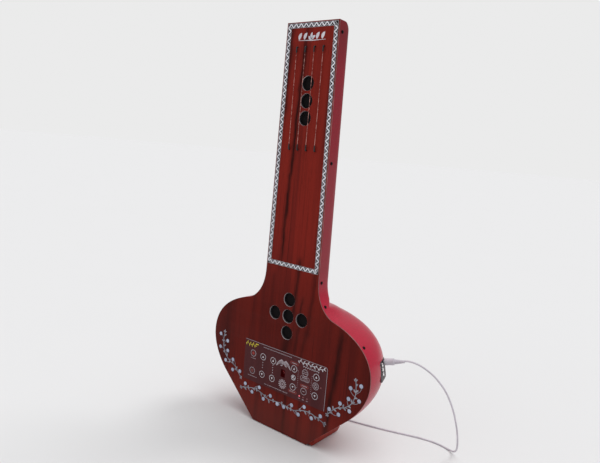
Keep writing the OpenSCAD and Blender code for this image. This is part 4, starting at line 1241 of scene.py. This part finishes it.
def wingParts(d, s):
    # one of a mirrored pair of sweeping leaves with a rounded head
    path = smoothPath(np.array(d["path"]) * [s, 1], 6)
    t = np.linspace(0, 1, len(path))
    width = d["thin"] + d["swell"] * np.sin(math.pi * t ** 0.62) ** 1.1
    head, tail = (np.array(d[key]) * [s, 1] for key in ("head", "tail"))
    return [ribbon(path, width, ink["pad"]), discs([head], d["headRadius"], ink["wingHead"], 18),
            leafRibbon(tail, math.pi / 2 - s * 1.9, 6.0, 2.2)]


def wingLines(d, s):
    # the gaps drawn in a wing, each a step further out and down
    return [ribbon(smoothPath([(s * (x + k * dx), z - k * dz) for x, z, dx, dz in d["gaps"]], 5),
                   d["gap"], ink["wingLine"]) for k in range(3)]


# everything printed on the keypad film; a frame is its left, right, low, top, corner and line
pad = dict(
    edge=[(-98.4, 158.9), (94.6, 158.9), (98.3, 78.6)], edgeRound=4.4, edgeLine=0.7,
    strokes=[(-51, 18, 154.0, 2.0, 7), (-43, 14, 83.2, 2.0, 9), (-82, -70, 124.6, 2.0, 11),
             (-86, -63, 88.4, 2.0, 13)],
    rosette=(0.6, 97.0, 9.2, 14),
    scales=((-50.8, (123.2, 118.2, 113.2)), (-25.4, (126, 121, 116, 111))),
    frames=[(41, 61, 118.8, 127.6, 3.0, 0.6), (43, 50.2, 120, 122.6, 1.1, 0.5),
            (51.8, 59, 120, 122.6, 1.1, 0.5)],
    frameBar=(51, 125.2, 12, 1.2), dotted=((35.4, 1), (66.4, -1)), dottedZ=(101, 134),
    lightBars=(42, 51, 60), lightBarZ=83.6,
    redFrames=[(15.5, 34.5, 142.6, 147.6, 2.3, 0.7), (15.5, 35, 88.2, 93.0, 2.2, 0.7),
               (42.5, 60.5, 107.2, 111.8, 2.1, 0.7)],
    grounds=[(25, 145.1, 16.5, 3.8), (25.2, 90.6, 17, 3.6), (51.5, 109.5, 15.5, 3.4)],
    labels=[(20, 30, 145.1, 1.6, 15), (19.5, 31, 90.6, 1.6, 17), (46.5, 56.5, 109.5, 1.6, 19)],
    titles=[(33, 95, 152.6, 9.6, 4.4), (45, 82, 145.6, 3.4, 2.4)],
    yellow=(-97, -69, 150.8, 9.0, 3.6, 1.15), yellowTip=((-70, 153.6), 0.1, 6.0, 1.8))


def padEdge(d):
    # along the top, round the right corner and down the right side
    left, end, low = d["edge"]
    r, a = d["edgeRound"], np.linspace(0.2, 1.57, 8)
    corner = np.array([low[0] - r, end[1] - r]) + r * np.stack([np.sin(a), np.cos(a)], 1)
    return ribbon(np.vstack([[left], [end], corner, [low]]), d["edgeLine"], ink["pad"])


def paleParts(d):
    # the film's edge, strokes in place of wording, ornaments, scales, frames and dotted columns
    parts = [padEdge(d)] + sum((strokeLine(*row) for row in d["strokes"]), [])
    parts += wingParts(wing, 1) + wingParts(wing, -1) + rosette(*d["rosette"])
    parts += [bar(x, z, 2.2, 1.3, 1.1) for x, heights in d["scales"] for z in heights]
    parts += [roundedFrame(*row) for row in d["frames"]] + [bar(*d["frameBar"])]
    z0, z1 = d["dottedZ"]
    for x, s in d["dotted"]:
        parts += [discs([(x, z) for z in np.linspace(z0 + 4, z1 - 4, 8)], 0.55, ink["pad"], 10),
                  bar(x - 1.3 * s, z1, 3.4, 0.6, -0.5 * s), bar(x - 1.3 * s, z0, 3.4, 0.6, 0.5 * s)]
    return parts + [bar(x, d["lightBarZ"], 4.0, 1.0) for x in d["lightBars"]]


ringPlaces = [(column * pitch, rows[row]) for _, column, row, kind in keys if kind != "leaves"]
labels = sum((strokeLine(*row, ink["label"]) for row in pad["labels"]), [])
makePiece("padWingLines", wingLines(wing, 1) + wingLines(wing, -1), "keyFilm", "keypad_film",
          angle=30)
makePrint("padLabelGrounds", [bar(*row, layer=ink["ground"]) for row in pad["grounds"]],
          "darkRedPrint")
makePrint("keyRings", [rings(ringPlaces, *keyLook["ring"], ink["pad"], 48)], "palePrint")
makePrint("padOrnament", sum((leafyLine(*row) for row in pad["titles"]), []) + labels, "whitePrint")
makePrint("padLines", paleParts(pad), "palePrint")
makePrint("padRedFrames", [roundedFrame(*row) for row in pad["redFrames"]], "redPrint")
makePrint("padYellowMark", leafyLine(*pad["yellow"]) + [leafRibbon(*pad["yellowTip"])],
          "yellowPrint")

display = dict(window=(10.0, 14.6, 0.8), z=117.5, depths=(0.0, -0.54),
               strokes=[(1.2, 122.4, 2.6, 1.2, 0.0), (2.9, 119.9, 3.4, 1.2, math.pi / 2)])
windowLoop = roundedLoop(*display["window"]) + [0, display["z"]]
glass = closedLoops([np.insert(windowLoop, 1, y, axis=1) for y in display["depths"]])
makePiece("displayGlass", [glass], "displayWindow", "display_window",
          replaces=("display_window",), angle=30)
makePiece("displaySegments", [bar(*row, layer=ink["digit"]) for row in display["strokes"]],
          "displaySegment", "display_window", angle=30)

# indicator lights: domed heads, the first of them lit
lights = [(42, 88), (51, 88), (60, 88), (87.5, 118.5)]
for name, places, look in (("lightLit", lights[:1], "ledLit"), ("lightsDim", lights[1:], "ledDim")):
    makePiece(name, [discs(places, 1.5, ink["light"], 20, rise=0.45)], look, "led",
              replaces=("indicator_leds",), angle=60)

# a plain leafy ornament near the top of the neck, in place of wording
crest = dict(outer=(-26.6, -15.2, 11.2, 22.6), outerZ=719.6, outerLeaf=(1.18, 12.6, 6.0),
             root=(0.6, 719.4), fan=((0.75, 9.6), (1.5708, 12.2), (2.4, 9.6)), fanWide=4.6,
             line=[(-28.0, 718.8), (2.0, 718.2), (30.0, 718.8)], lineWidths=[0.5, 1.5, 0.5])
crestParts = [leafRibbon((x, crest["outerZ"]), *crest["outerLeaf"], ink["crest"])
              for x in crest["outer"]]
crestParts += [leafRibbon(crest["root"], angle, long, crest["fanWide"], ink["crestTop"])
               for angle, long in crest["fan"]]
crestParts += [ribbon(crest["line"], crest["lineWidths"], ink["crest"])]
makePrint("neckCrest", crestParts, "whitePrint")
print("keypad made")

# the floor and the studio, then each light's direction, power and spread in degrees
stage = dict(size=60.0, floor=(223, 223, 223), floorDrift=(222, 222, 222),
             seen=(0.83, 0.83, 0.83, 1), felt=(0.46, 0.46, 0.47, 1),
             suns=dict(ceilingLight=((0.45, -0.2, 2.2), 1.35, 50),
                       rearLight=((0.35, 0.6, 1.0), 0.8, 24),
                       frontLight=((-0.5, -1.0, 0.6), 0.35, 60)))


def makeStage(d):
    # the camera sees a pale studio; the light it throws on the parts is dimmer, so that dark
    # gloss stays dark
    mesh = bpy.data.meshes.new("paleFloor")
    s = d["size"]
    mesh.from_pydata([(-s, -s, 0), (s, -s, 0), (s, s, 0), (-s, s, 0)], [], [(0, 1, 2, 3)])
    floor = placed("paleFloor", mesh)
    m, t, shader, place = startMaterial("paleFloor", Roughness=0.9, Specular_IOR_Level=0.0)
    drift = mixColour(t, noise(t, place, 3.0), shade(*d["floor"]), shade(*d["floorDrift"]))
    wire(t, drift, shader["Base Color"])
    mesh.materials.append(m)
    world = bpy.data.worlds.new("paleStudio")
    world.use_nodes = True
    t = world.node_tree
    seen = t.nodes.new("ShaderNodeLightPath").outputs["Is Camera Ray"]
    wire(t, mixColour(t, seen, d["felt"], d["seen"]), t.nodes["Background"].inputs["Color"])
    scene.world = world
    for name, (source, power, spread) in d["suns"].items():
        data = bpy.data.lights.new(name, "SUN")
        data.energy, data.angle = power, math.radians(spread)
        placed(name, data).rotation_euler = Vector(source).to_track_quat("Z", "Y").to_euler()


makeStage(stage)
scene.view_settings.view_transform = "Standard"
print("stage made")
